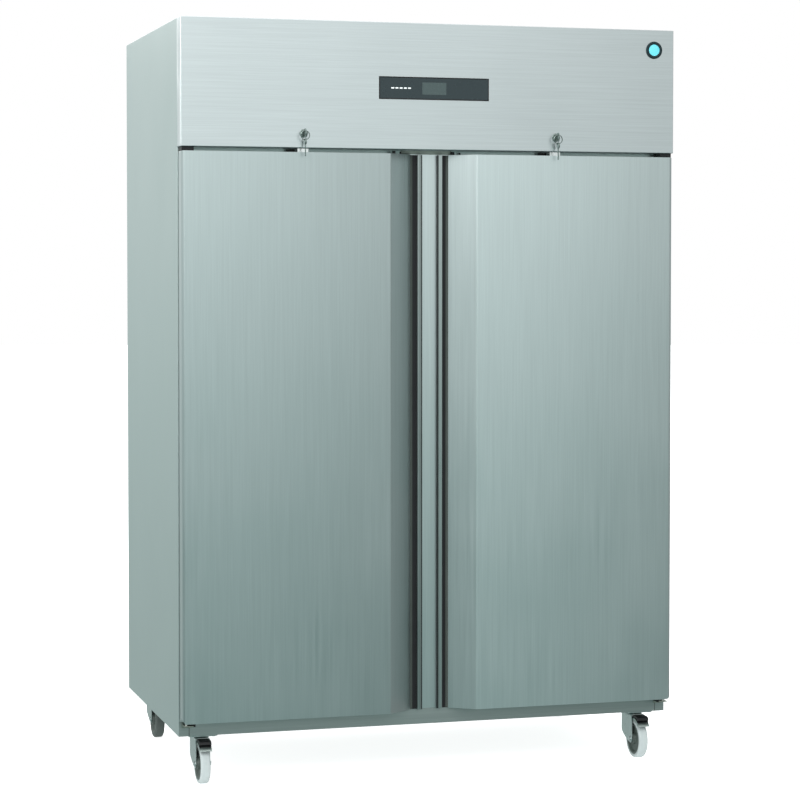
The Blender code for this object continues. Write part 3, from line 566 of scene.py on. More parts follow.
def make_finishes():
    """Fill in FINISHES. The brushed sheets outside are one steel in lighter and darker copies: painted light
    and shade.
    """
    FINISHES.update({
        "fascia": brushed("fascia_brushed_steel", (0.68, 0.73, 0.74), 0.33, "X", 0.06, 0.6, FASCIA_BOW, 0.0),
        # The doors are one steel: the left one is painted darker than the right, as painted shade.
        "door_left": brushed("left_door_brushed_steel", (0.52, 0.585, 0.585), 0.33, "Z", *DOOR_BRUSHING),
        "door_right": brushed("right_door_brushed_steel", (0.61, 0.68, 0.68), 0.33, "Z", *DOOR_BRUSHING),
        "mullion": brushed("mullion_brushed_steel", (0.63, 0.70, 0.70), 0.33, "Z", 0.05),
        "shade": brushed("shaded_steel", (0.52, 0.61, 0.59), 0.40, "X", 0.05),
        "olive": moulded("olive_strip", (0.12, 0.155, 0.135), 0.5),
        # Painted shade on the steel wall at the fold of each door's grip, and the real dark seams of the
        # plinth.
        "groove": moulded("painted_groove_shade_and_dark_seam", (0.032, 0.042, 0.037), 0.5, shine=0.3),
        # The plinth is a darker copy of the steel: painted shade low down.
        "plinth": brushed("plinth_brushed_steel", (0.36, 0.41, 0.40), 0.36, "X"),
        "side": brushed("side_satin_steel", (0.52, 0.60, 0.59), 0.42, "Z", 0.03, 0.3),
        "liner": brushed("liner_steel", (0.64, 0.68, 0.68), 0.34, "Z", 0.04, 0.4),
        # The top cover is painted darker than its steel, as painted shade against the strong light on top.
        "cover": brushed("cover_steel", (0.40, 0.44, 0.44), 0.40, "X", 0.04, 0.3),
        # The lip is a darker copy of the door steel: painted shade.
        "lip": brushed("lip_steel", (0.39, 0.44, 0.43), 0.30, "Z", 0.05),
        "bright": plated("bright_steel", (0.78, 0.80, 0.80), 0.24),
        "nickel": plated("nickel_plate", (0.22, 0.27, 0.255), 0.34),
        # The pedal is zinc-plated steel painted darker where light falls on its slope: painted shade.
        "pedal": plated("pedal_zinc_painted_shade", (0.36, 0.42, 0.40), 0.34),
        "hinge": plated("hinge_steel", (0.34, 0.37, 0.32), 0.36),
        "zinc": plated("zinc_plated_steel", (0.55, 0.61, 0.60), 0.34, 0.08),
        "wire": plated("polished_wire", (0.74, 0.76, 0.76), 0.20, 0.04),
        "aluminium": plated("aluminium_fin", (0.72, 0.73, 0.74), 0.42),
        "glass": glassy("panel_glass", (0.014, 0.024, 0.027), 0.20, 0.1, 0.3),
        "display": glassy("display_glass", (0.042, 0.062, 0.062), 0.24, 0.0, 0.3),
        "mark": moulded("panel_mark", (0.62, 0.66, 0.66), 0.45),
        "black": moulded("black_plastic", (0.007, 0.008, 0.009), 0.46, shine=0.28),
        "rubber": moulded("dark_rubber", (0.040, 0.044, 0.044), 0.62, 700.0, 0.0001),
        "nylon": moulded("white_nylon", (0.37, 0.42, 0.42), 0.42, 900.0, 0.00005, 0.05),
        # The rear castors' treads are the front treads' nylon painted dark: painted shade.
        "shaded_nylon": moulded("shaded_nylon", (0.060, 0.075, 0.070), 0.5, 900.0, 0.00005, 0.06, 0.3),
        # The rim is grey, painted darker still: painted shade under the body.
        "rim": moulded("grey_rim_painted_shade", (0.060, 0.078, 0.070), 0.45, shine=0.3),
        "cyan": glassy("cyan_enamel", (0.10, 0.52, 0.60), 0.22, 0.6),
        "ring": plated("dark_ring", (0.035, 0.055, 0.062), 0.30),
        "paint": moulded("black_paint", (0.025, 0.025, 0.027), 0.38, 500.0, 0.00008),
    })


# ---------------------------------------------------------------- fasteners

def pan_head(radius, height):
    """A pan-head screw with a cross recess, on the XY plane with its head pointing along +Z."""
    head = turned([(0.0, 0.0), (radius, 0.0), (radius, height * 0.45), (radius * 0.82, height * 0.85),
                   (radius * 0.5, height), (0.0, height)], "Z", (0.0, 0.0), 20)
    arm, half = radius * 0.5, radius * 0.11
    cross = joined(block((-arm, arm), (-half, half), (height * 0.45, height * 2)),
                   block((-half, half), (-arm, arm), (height * 0.45, height * 2)))
    return cut(head, cross)


def hex_head(radius, height):
    """A hexagon bolt head on its washer, on the XY plane and pointing along +Z."""
    washer = turned([(0.0, 0.0), (radius * 1.35, 0.0), (radius * 1.35, height * 0.22), (0.0, height * 0.22)],
                    "Z", (0.0, 0.0), 24)
    hexagon = rod("Z", (0.0, 0.0), radius, height * 0.1, height, 6)
    dome = turned([(0.0, -height), (radius * 1.6, -height), (radius * 1.02, height * 0.75),
                   (radius * 0.86, height), (0.0, height)], "Z", (0.0, 0.0), 24)
    return joined(washer, common(hexagon, dome))


FACING = {
    "+X": Matrix.Rotation(radians(90), 4, "Y"),
    "-X": Matrix.Rotation(radians(-90), 4, "Y"),
    "+Y": Matrix.Rotation(radians(-90), 4, "X"),
    "-Y": Matrix.Rotation(radians(90), 4, "X"),
    "+Z": Matrix.Identity(4),
    "-Z": Matrix.Rotation(radians(180), 4, "X"),
}


def placed(mesh, direction, places):
    """Copies of one mesh at several places, all pointing the same way."""
    moves = [Matrix.Translation(Vector(place)) @ FACING[direction] for place in places]
    return together(*[moved(mesh, move) for move in moves])


# ---------------------------------------------------------------- body

def finish_frame_nodes():
    """Give every CAD node that stays in view its own finish. The others are replaced by pieces."""
    chosen = {"side_panel_left": "side", "side_panel_right": "side", "floor_panel": "plinth",
              "rear_panel": "liner", "ceiling_panel": "liner", "centre_mullion": "mullion",
              "top_cover": "cover", "cable_gland": "black", "fascia_panel": "fascia",
              "evaporator": "aluminium", "evaporator_cover": "liner", "evaporator_fan": "black",
              "condenser": "aluminium", "condenser_fan": "black", "compressor": "paint",
              "hinge_top_left": "black", "hinge_top_right": "black", "door_left_keeper": "bright",
              "door_right_keeper": "bright"}
    for node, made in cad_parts.items():
        made.data.materials.clear()
        made.data.materials.append(FINISHES[chosen.get(node, "zinc")])


def make_cover_screws():
    """Screws round the edge of the top cover and on the back of the rear panel."""
    low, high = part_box("top_cover")
    screw = pan_head(0.0045, 0.0028)
    inset = SCREW_INSET
    shares = [step / (SCREW_COUNT - 1) for step in range(SCREW_COUNT)]
    xs = [low.x + inset + (high.x - low.x - 2 * inset) * share for share in shares]
    top = placed(screw, "+Z", [(x, y, high.z) for y in (high.y - inset, low.y + inset) for x in xs])
    back = placed(screw, "+Y", [(x, high.y, low.z + inset) for x in xs])
    piece("cover_screws", together(top, back), "bright", "cabinet")
    low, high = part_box("rear_panel")
    places = []
    for share in shares:
        z = low.z + 0.06 + (high.z - low.z - 0.12) * share
        places += [(low.x + inset, high.y, z), (high.x - inset, high.y, z)]
    piece("rear_screws", placed(screw, "+Y", places), "bright", "cabinet")


# ---------------------------------------------------------------- doors

def shell_profile(low, high, sign):
    """Top view of the outer shell: a round outer edge, the flat front, and the facet with its folded end."""
    outer = high.x if sign > 0 else -low.x
    front, back = low.y, high.y
    end = front + FACET_DEPTH
    outline = [(FACET_END, end), (FACET_END + 0.0002, end + 0.0005),
               (FACET_END + 0.0006, end + 0.8 * FACET_SHEET), (FACET_END + 0.0168, back), (outer, back)]
    outline += arc((outer - SHELL_EDGE, front + SHELL_EDGE), SHELL_EDGE, 0, -90, 8)
    outline += [(FACET_START + 0.003, front), (FACET_START + 0.001, front + 0.0002),
                (FACET_START - 0.001, front + 0.0009)]
    return mirrored(outline, sign)


def corner_mask(low, high, sign):
    """Front view of the outer shell, with its round outer corners."""
    outer = high.x if sign > 0 else -low.x
    bottom, top = SHELL_CORNER, SHELL_CORNER / 3
    outline = [(MASK_INNER, low.z), *arc((outer - bottom, low.z + bottom), bottom, -90, 0),
               *arc((outer - top, high.z - top), top, 0, 90), (MASK_INNER, high.z)]
    return prism(mirrored(outline, sign), "Y", low.y - 0.01, high.y + 0.02)


def make_door_shell(side, sign):
    node = "door_%s_shell" % side
    low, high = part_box(node)
    pin = (sign * (CAD_BOX[1].x - HINGE_INSET), low.y + HINGE_DEPTH)
    bores = [rod("Z", pin, HINGE_BORE, low.z - 0.01, low.z + 0.024, 24),
             rod("Z", pin, HINGE_BORE, high.z - 0.024, high.z + 0.01, 24)]
    shell = prism(shell_profile(low, high, sign), "Z", low.z, high.z)
    shell = softened(common(shell, corner_mask(low, high, sign)), 0.0016, 3, 50)
    piece("shell_" + side, cut(shell, *bores), "door_" + side, "door_" + side, [node])


def make_door_liner(side):
    """Inner pan with a raised, dished plug that fills the doorway."""
    node = "door_%s_liner" % side
    low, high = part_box(node)
    gasket_low, gasket_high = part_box("door_%s_gasket" % side)
    step = high.y - 0.0065
    sheet = softened(block((low.x, high.x), (low.y, step), (low.z, high.z)), 0.001, 2)
    gap = GASKET_WIDTH + 0.002
    corners = ((gasket_low.x + gap, gasket_low.z + gap), (gasket_high.x - gap, gasket_high.z - gap))
    plug = prism(rounded(*corners, 0.012), "Y", step - 0.002, high.y)
    (x0, z0), (x1, z1) = corners
    inner = ((x0 + LINER_BORDER, z0 + LINER_BORDER), (x1 - LINER_BORDER, z1 - LINER_BORDER))
    dish = prism(rounded(*inner, 0.030, 8), "Y", high.y - LINER_RECESS, high.y + 0.01)
    plug = softened(cut(plug, dish), 0.0015, 3)
    piece("liner_" + side, joined(sheet, plug), "liner", "door_" + side, [node])


def make_gasket(side):
    """Magnetic gasket: a base, a narrow bellows and the round magnet channel."""
    node = "door_%s_gasket" % side
    low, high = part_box(node)
    base, top = low.y, high.y
    w = GASKET_WIDTH
    outer = [(0.0014, top), (0.0002, top - 0.0012), (0.0, base + 0.0045), (0.0006, base + 0.0034),
             (0.0028, base + 0.0026), (0.0022, base + 0.0018), (0.0, base + 0.0012), (0.0, base)]
    inner = [(w - inset, y) for inset, y in reversed(outer)]
    ring = rim(outer + inner, (low.x, high.x), (low.z, high.z))
    piece("gasket_" + side, ring, "rubber", "door_" + side, [node])


def make_grip(side, sign):
    """Black grip channel, the steel lip that covers its outer edge, and the strip at the facet's fold."""
    node = "door_%s_grip" % side
    low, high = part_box(node)
    near = min(abs(low.x), abs(high.x)) - GRIP_OVERHANG
    far = max(abs(low.x), abs(high.x))
    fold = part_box("door_%s_shell" % side)[0].y + FACET_DEPTH
    back = high.y
    lip_front = back - LIP_DEPTH
    lip_far = near + GRIP_OVERHANG + LIP_WIDTH
    floor = back - 0.0015
    wall = FACET_END + 0.0009
    channel = [(near, lip_front + 0.0022), (near, back), (far, back), (far, fold - 0.0084),
               (wall, fold + 0.0012), (GRIP_FLOOR_EDGE + 0.0008, floor - 0.0005),
               (GRIP_FLOOR_EDGE, floor), (lip_far + 0.0006, floor), (lip_far - 0.0010, floor - 0.0012),
               (lip_far - 0.0010, lip_front + 0.0022)]
    black = prism(mirrored(channel, sign), "Z", low.z, high.z)
    piece("grip_" + side, black, "black", "door_" + side, [node])
    lip = prism(mirrored(lip_outline(near, lip_front, lip_far, floor), sign), "Z", low.z + 0.0005,
                high.z - 0.0005)
    piece("lip_" + side, lip, "lip", "door_" + side)
    # The strip at the fold stands for the grip's steel wall, painted dark: painted shade.
    strip = [(FACET_END + 0.0006, fold + 0.0003), (FACET_END + 0.0006, fold + 0.0012),
             (FOLD_FOOT, floor + 0.0002), (FOLD_FOOT, floor - 0.0006)]
    strip = prism(mirrored(strip, sign), "Z", low.z + 0.0008, high.z - 0.0008)
    piece("fold_" + side, strip, "groove", "door_" + side)


def lip_outline(near, front, far, floor):
    """Top view of the lip: a hooked sheet with a shallow groove along its front."""
    t = LIP_SHEET
    r = 0.0022
    edge = near + 0.0026
    slope = 0.0010
    outer = [(edge, front + 0.0040), *arc((edge + r * 0.6, front + r * 0.6 + slope), r * 0.6, 180, 260, 4),
             (edge + 0.0034, front + slope * 0.7), (edge + 0.0037, front + slope * 0.7 + 0.0005),
             (edge + 0.0041, front + slope * 0.6 + 0.0005), (edge + 0.0044, front + slope * 0.6),
             *arc((far - r, front + r), r, 275, 360, 5), (far, floor - 0.002)]
    inner = [(far - t, floor - 0.002), *arc((far - r, front + r), r - t * 0.9, 360, 270, 5),
             (edge + r, front + slope + 0.0012), (edge + t * 0.7, front + 0.0040)]
    return outer + inner


def make_top_pads(side):
    """Black pads on the top edge of a door: one by its grip with a stud beside it, and two by its keeper."""
    shell_low, shell_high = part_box("door_%s_shell" % side)
    top = shell_high.z
    front = shell_low.y
    pad_x, pad_width, stud_x, depth = TOP_PADS[side]
    half = pad_width / 2
    pad = softened(block((pad_x - half, pad_x + half), (front + depth - 0.0035, front + depth + 0.0035),
                         (top, top + 0.0085)), 0.0012)
    stud = turned([(0.0, top), (0.0024, top), (0.0024, top + 0.0060), (0.0018, top + 0.0070),
                   (0.0, top + 0.0070)], "Z", (stud_x, front + depth), 24)
    keeper_low, keeper_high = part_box("door_%s_keeper" % side)
    pads = [pad, stud]
    for x_range in ((keeper_low.x - 0.025, keeper_low.x - 0.0006),
                    (keeper_high.x + 0.0006, keeper_high.x + 0.005)):
        stop = block(x_range, (front + 0.0335, front + 0.0360), (top, top + 0.0090))
        pads.append(softened(stop, 0.0006))
    piece("top_pads_" + side, together(*pads), "black", "door_" + side)


def make_front_strips():
    """Folded sheets on the front of the body, between the doors and above them."""
    left_low, left_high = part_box("door_left_shell")
    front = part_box("centre_mullion")[0].y
    face, root = front - 0.0012, front + 0.0003
    half = MULLION_HALF
    post = [(-half, root), (-half, face + 0.0006), (-half + 0.0015, face), (half - 0.0015, face),
            (half, face + 0.0006), (half, root)]
    fascia_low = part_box("fascia_panel")[0].z
    piece("mullion_strip", prism(post, "Z", left_low.z + 0.0015, fascia_low - 0.0008), "mullion", "cabinet")
    gap = (left_high.z + 0.0006, fascia_low - 0.0006)
    rails = [block((-RAIL_END, OLIVE_STRIP[0] - 0.0006), (face, root), gap),
             block((OLIVE_STRIP[1] + 0.0006, RAIL_END), (face, root), gap)]
    piece("top_rails", together(*[softened(rail, 0.0005, 2) for rail in rails]), "shade", "cabinet")
    middle = block(OLIVE_STRIP, (face - 0.0010, root), gap)
    piece("top_rail_middle", softened(middle, 0.0008, 2), "olive", "cabinet")


def make_plinth_face():
    """Three sheets on the front of the floor panel, with a dark seam between each two."""
    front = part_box("centre_mullion")[0].y
    root = front + 0.0003
    height = (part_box("floor_panel")[0].z + 0.0008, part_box("door_left_shell")[0].z - 0.0006)
    edge = CAD_BOX[1].x - PLINTH_SEAM
    end = CAD_BOX[1].x - 0.0008
    plates = [block(x_range, (front - 0.0006, root), height)
              for x_range in ((-end, -edge - SEAM_GAP), (-edge, edge), (edge + SEAM_GAP, end))]
    piece("plinth_face", together(*[softened(plate, 0.0003, 2) for plate in plates]), "plinth", "cabinet")
    seams = [block(sorted((sign * edge, sign * (edge + SEAM_GAP))), (front - 0.0001, root), height)
             for _, sign in SIDES]
    piece("plinth_seams", together(*seams), "groove", "cabinet")


# ---------------------------------------------------------------- fascia

def front_plate(x, z, half_width, half_height, corner, count, y_range):
    """A plate with round corners that faces the front."""
    outline = rounded((x - half_width, z - half_height), (x + half_width, z + half_height), corner, count)
    return prism(outline, "Y", *y_range)


def make_control_panel():
    """Glass in a thin bezel, with a display window and a row of plain marks."""
    low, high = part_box("control_panel")
    centre = (low + high) / 2
    size = high - low
    glass = front_plate(centre.x, centre.z, size.x / 2 - 0.0006, size.z / 2 - 0.0006, 0.002, 4,
                        (low.y + 0.0004, high.y))
    piece("control_glass", glass, "glass", "cabinet", ["control_panel"])
    bezel = rim([(0.0, low.y + 0.0006), (0.0006, low.y), (BEZEL - 0.0006, low.y), (BEZEL, low.y + 0.0003),
                 (BEZEL, low.y + 0.001), (0.0, low.y + 0.001)], (low.x, high.x), (low.z, high.z))
    piece("control_bezel", bezel, "black", "cabinet")
    window = front_plate(centre.x, centre.z, DISPLAY_WIDTH / 2, DISPLAY_HEIGHT / 2, 0.0015, 4,
                         (low.y + 0.0001, low.y + 0.0008))
    piece("control_display", window, "display", "cabinet")
    middle = (MARK_COUNT - 1) / 2
    marks = [front_plate(centre.x + MARKS_CENTRE + (step - middle) * MARK_PITCH, centre.z, 0.0042, 0.0018,
                         0.0008, 3, (low.y + 0.0001, low.y + 0.0006)) for step in range(MARK_COUNT)]
    piece("control_marks", together(*marks), "mark", "cabinet")


def make_badge():
    """A plain enamel disc in a dark ring."""
    low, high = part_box("badge")
    centre = (low + high) / 2
    radius = (high.x - low.x) / 2
    place = (centre.x, centre.z)
    ring = turned([(radius * 0.66, low.y + 0.0008), (radius * 0.70, low.y + 0.0002), (radius * 0.76, low.y),
                   (radius * 0.92, low.y), (radius * 0.985, low.y + 0.0004), (radius, low.y + 0.0010),
                   (radius, high.y), (radius * 0.66, high.y)], "Y", place, 64)
    piece("badge_ring", ring, "ring", "cabinet", ["badge"])
    disc = turned([(0.0, low.y + 0.0002), (radius * 0.3, low.y + 0.0003), (radius * 0.5, low.y + 0.0006),
                   (radius * 0.655, low.y + 0.0011), (radius * 0.655, high.y - 0.0002),
                   (0.0, high.y - 0.0002)], "Y", place, 64)
    piece("badge_disc", disc, "cyan", "cabinet")


def key_blade(length, teeth):
    """Side view of a key's blade, from the bow at 0 along +X, with its cuts on one edge."""
    half = 0.0036
    outline = [(0.0, -half), (length - 0.002, -half), (length, -half + 0.002), (length, half - 0.0022)]
    pitch = (length * 0.75) / teeth
    edge = half - 0.0006
    for index in range(teeth):
        x = length - 0.0015 - pitch * index
        root = edge - 0.0008 - 0.0007 * ((index * 2) % 3)
        outline += [(x, edge), (x - pitch * 0.35, root), (x - pitch * 0.65, root)]
    return outline + [(length * 0.2, half), (0.0, half)]


def key_bow(y, z, width, height, swell):
    """Side view of a key's bow: an oval, flatter or fuller above and below by a share of its height."""
    turns = [2 * pi * step / ROUND for step in range(ROUND)]
    return [(y + width * cos(a), z + height * sin(a) * (1.0 + swell * cos(2 * a))) for a in turns]


def make_lock(side):
    """Bevelled rosette, the barrel with its cam, the key in it, a split ring and the spare key."""
    low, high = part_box("lock_%s_sleeve" % side)
    centre = (low + high) / 2
    place = (centre.x, centre.z)
    radius = (high.x - low.x) / 2
    bore = 0.0065
    rosette = turned([(bore, low.y + 0.0004), (bore + 0.0006, low.y), (radius - 0.0016, low.y),
                      (radius - 0.0004, low.y + 0.0006), (radius, low.y + 0.0014),
                      (radius - 0.002, low.y + 0.0015), (radius - 0.002, high.y), (bore, high.y)],
                     "Y", place, 40)
    piece("lock_rosette_" + side, rosette, "nickel", "cabinet", ["lock_%s_sleeve" % side])
    make_barrel(side, place)
    bow_y = make_key(side, place)
    make_spare_key(side, place, bow_y)


def make_barrel(side, place):
    """The barrel with its key slot, and the cam on its inner end."""
    low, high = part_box("lock_%s_barrel" % side)
    x, z = place
    r = 0.0062
    barrel = turned([(0.0, low.y), (r - 0.0006, low.y), (r, low.y + 0.0006), (r, high.y - 0.0012),
                     (0.0, high.y - 0.0012)], "Y", place, 32)
    slot = block((x - 0.0014, x + 0.0014), (low.y - 0.002, low.y + 0.011), (z - 0.0046, z + 0.0046))
    tip = low.x
    cam = prism([(tip + 0.002, z - 0.006), (x, z - 0.006), *arc((x, z), 0.0068, -60, 60, 8), (x, z + 0.006),
                 (tip + 0.002, z + 0.006), (tip, z + 0.004), (tip, z - 0.004)], "Y", high.y - 0.003, high.y)
    piece("barrel_" + side, joined(cut(barrel, slot), softened(cam, 0.0004, 2)), "nickel", "lock_" + side,
          ["lock_%s_barrel" % side])


def make_key(side, place):
    """The key in the lock, which turns with it. Gives how far forward the middle of its bow is."""
    low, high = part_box("lock_%s_key" % side)
    x, z = place
    radius = (high.z - low.z) / 2
    bow_y = low.y + radius
    bow = slab(key_bow(bow_y, z, radius * 0.98, radius * 0.93, -0.12), "X", x, KEY_HALF)
    eye = slab(circle((bow_y, z + EYE_RISE), 0.0036, 24), "X", x, 0.01)
    root = bow_y + radius * 0.8
    blade = slab(shifted(key_blade(high.y - root, 4), root, z), "X", x, KEY_HALF)
    key = softened(cut(joined(bow, blade), eye), 0.0003, 2)
    piece("key_" + side, key, "nickel", "lock_" + side, ["lock_%s_key" % side])
    return bow_y


def make_spare_key(side, place, bow_y):
    """The split ring with the spare key, which swings from the eye of the key in the lock."""
    x, eye_z = place[0], place[1] + EYE_RISE
    wire = 0.0010
    turns, steps = 1.9, 56
    path = []
    for index in range(steps + 1):
        a = radians(90) + 2 * pi * turns * index / steps
        path.append((x + RING_RADIUS * cos(a), bow_y + wire * 1.9 * (index / steps - 0.5),
                     eye_z - RING_RADIUS + RING_RADIUS * sin(a)))
    loop = tube(path, wire, 8)
    spare_z = eye_z - 2 * RING_RADIUS
    bow = slab(key_bow(bow_y, spare_z - 0.005, 0.0088, 0.0088, 0.1), "X", x, 2 * KEY_HALF)
    bow = cut(bow, slab(circle((bow_y, spare_z), 0.0030, 20), "X", x, 0.01))
    root = spare_z - 0.0125
    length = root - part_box("lock_%s_key_ring" % side)[0].z
    blade = slab([(bow_y + b, root - a) for a, b in key_blade(length, 5)], "X", x, KEY_HALF)
    spare = softened(joined(bow, blade), 0.0003, 2)
    piece("spare_key_" + side, together(loop, spare), "nickel", "keys_" + side,
          ["lock_%s_key_ring" % side])


# ---------------------------------------------------------------- hinges

def make_bottom_hinge(side, sign):
    """Bracket with its leaf a little below the door, the pin that stands on it, and a black end cap."""
    node = "hinge_bottom_" + side
    low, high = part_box(node)
    door_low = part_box("door_%s_shell" % side)[0].z
    top = door_low - LEAF_GAP
    under = top - LEAF_SHEET
    wall = high.y - LEAF_SHEET
    profile = [(low.y, under), (low.y, top), (high.y, top), (high.y, top - 0.012), (wall, top - 0.012),
               (wall, under)]
    bracket = prism(profile, "X", *sorted((sign * LEAF_INNER, sign * LEAF_OUTER)))
    piece(node + "_bracket", softened(bracket, 0.0006, 2), "hinge", "cabinet", [node])
    pin = turned([(0.0, under - 0.0020), (0.0058, under - 0.0020), (0.0062, under - 0.0010), (0.0062, under),
                  (0.0042, under), (0.0042, door_low + 0.019), (0.0, door_low + 0.020)], "Z",
                 (sign * (CAD_BOX[1].x - HINGE_INSET), low.y + 0.015), 24)
    piece(node + "_pin", pin, "bright", "cabinet")
    end_cap = block(sorted((sign * (LEAF_INNER - 0.0050), sign * (LEAF_INNER + 0.0005))),
                    (low.y - 0.0004, high.y), (under, door_low - 0.0006))
    piece(node + "_end_cap", softened(end_cap, 0.0012), "black", "cabinet")


# ---------------------------------------------------------------- castors

def fork_arch(x, reach, inner, low, high):
    """Front view of a fork: an inverted channel with round shoulders."""
    t = reach - inner
    r = t + 0.002
    outer = [(x - reach, low), *arc((x - reach + r, high - r), r, 180, 90, 5),
             *arc((x + reach - r, high - r), r, 90, 0, 5), (x + reach, low)]
    crown = 0.0067
    under = [(x + inner, low), *arc((x + inner - 0.002, high - crown - 0.002), 0.002, 0, 90, 4),
             *arc((x - inner + 0.002, high - crown - 0.002), 0.002, 90, 180, 4), (x - inner, low)]
    return outer + under


def fork_side(axle_y, axle_z, swivel_y, half, high):
    """Side view of a fork: broad, with a straight back edge that curves in to the round axle boss."""
    tip = 0.0115
    front, back = swivel_y - half, swivel_y + half
    shoulder = axle_z + 0.014
    neck = high - 0.020
    outline = [(front, high), (front, neck)]
    outline += [(front + (axle_y - tip - front) * t, neck + (axle_z - neck) * t)
                for t in (0.35, 0.7)]
    outline += arc((axle_y, axle_z), tip, 180, 300, 8)
    foot_y, foot_z = outline[-1]
    outline += [(foot_y + (back - foot_y) * t, foot_z + (shoulder - foot_z) * t ** 1.7)
                for t in (0.3, 0.55, 0.78, 0.93)]
    outline += [(back, shoulder + 0.004), (back, high)]
    return outline


def make_castor(name):
    plate_low, plate_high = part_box(name + "_plate")
    fork_low, fork_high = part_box(name + "_fork")
    x = (plate_low.x + plate_high.x) / 2
    swivel_y = (plate_low.y + plate_high.y) / 2
    make_castor_plate(name, x, swivel_y, plate_low, plate_high, fork_high.z)
    wheel = centre_of(name + "_wheel")
    reach = (fork_high.x - fork_low.x) / 2 - BOLT_HEAD
    top = fork_high.z
    arch = slab(fork_arch(x, reach, reach - FORK_SHEET, fork_low.z, top), "Y", swivel_y, 0.06)
    side = slab(fork_side(wheel.y, wheel.z, swivel_y, 0.038, top), "X", x, 0.03)
    fork = softened(common(arch, side), 0.0007, 2, 55)
    fork = cut(fork, rod("Z", (x, swivel_y), 0.0056, 0.09, 0.2, 24))
    cup = turned([(0.0060, top - 0.0006), (0.024, top - 0.0006), (0.0245, top - 0.003),
                  (0.020, top - 0.0055), (0.0060, top - 0.0055)], "Z", (x, swivel_y), 32)
    piece(name + "_fork_sheet", joined(fork, cup), "zinc", name + "_swivel",
          [name + "_fork"])
    bolt = hex_head(0.0062, 0.0036)
    ends = together(placed(bolt, "-X", [(x - reach, wheel.y, wheel.z)]),
                    placed(bolt, "+X", [(x + reach, wheel.y, wheel.z)]),
                    slab(circle((wheel.y, wheel.z), 0.0044, 20), "X", x, reach + 0.0005))
    piece(name + "_axle_bolt", ends, "bright", name + "_swivel")
    make_wheel(name, wheel)


def make_castor_plate(name, x, y, low, high, race_low):
    """Top plate with its four bolts, the pressed cup of the ball race, and the kingpin."""
    under = high.z - PLATE_SHEET
    bolts = [(x + sx * BOLT_OFFSET[0], y + sy * BOLT_OFFSET[1]) for sx in (-1, 1) for sy in (-1, 1)]
    plate = prism(rounded((low.x, low.y), (high.x, high.y), 0.010), "Z", under, high.z)
    holes = [prism(rounded((a - 0.0048, b - 0.0065), (a + 0.0048, b + 0.0065), 0.0046), "Z",
                   high.z - 0.01, high.z - 0.0012) for a, b in bolts]
    plate = softened(cut(plate, *holes), 0.0005, 2)
    race = race_low + 0.0005
    cup = turned([(0.0, high.z - 0.0035), (0.0300, high.z - 0.0035), (0.0300, high.z - 0.0055),
                  (0.0285, race + 0.0022), (0.0270, race), (0.0, race)], "Z", (x, y), 40)
    pin = turned([(0.0, race), (0.0050, race), (0.0050, race - 0.0075), (0.0088, race - 0.0075),
                  (0.0088, race - 0.0095), (0.0060, race - 0.0115), (0.0, race - 0.0115)], "Z", (x, y), 24)
    piece(name + "_plate_sheet", joined(plate, cup, pin), "zinc", "cabinet",
          [name + "_plate"])
    heads = placed(hex_head(0.0040, 0.0022), "-Z", [(a, b, under) for a, b in bolts])
    piece(name + "_bolts", heads, "bright", "cabinet")


def both_sides(profile, middle):
    """One side of a wheel's (radius, distance from its middle) profile, with its mirror image."""
    near = [(radius, middle + distance) for radius, distance in profile]
    far = [(radius, middle - distance) for radius, distance in reversed(profile) if distance]
    return near + far


def make_wheel(name, centre):
    """White tread on a grey rim with a recessed web, and a steel bearing tube. Rear treads, rims: painted
    shade.
    """
    low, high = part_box(name + "_wheel")
    radius = (high.z - low.z) / 2
    half = WHEEL_HALF
    hub = (high.x - low.x) / 2
    place = (centre.y, centre.z)
    corner = 0.006
    tread = [(radius - 0.010, half - 0.0012), (radius - 0.0062, half)]
    tread += [(radius - corner + corner * sin(a), half - corner + corner * cos(a))
              for a in [radians(15 * k) for k in range(1, 6)]]
    tread += [(radius, half - 0.0062), (radius, 0.0)]
    # Rear treads take the same nylon painted dark: painted shade.
    nylon = "nylon" if "front" in name else "shaded_nylon"
    piece(name + "_tread", turned(both_sides(tread, centre.x), "X", place, 72), nylon, name + "_roller",
          [name + "_wheel"])
    web = [(0.0084, hub - 0.0004), (0.0125, hub - 0.0004), (0.0145, hub - 0.0012), (0.0165, 0.0085),
           (radius - 0.020, 0.0075), (radius - 0.0165, half - 0.002), (radius - 0.0155, half - 0.0008),
           (radius - 0.0103, half - 0.0008)]
    piece(name + "_rim", turned(both_sides(web, centre.x), "X", place, 56), "rim", name + "_roller")
    bearing = [(0.0056, hub), (0.0078, hub), (0.0083, hub - 0.0005)]
    bearing = turned(both_sides(bearing, centre.x), "X", place, 32)
    piece(name + "_bearing", bearing, "bright", name + "_roller")


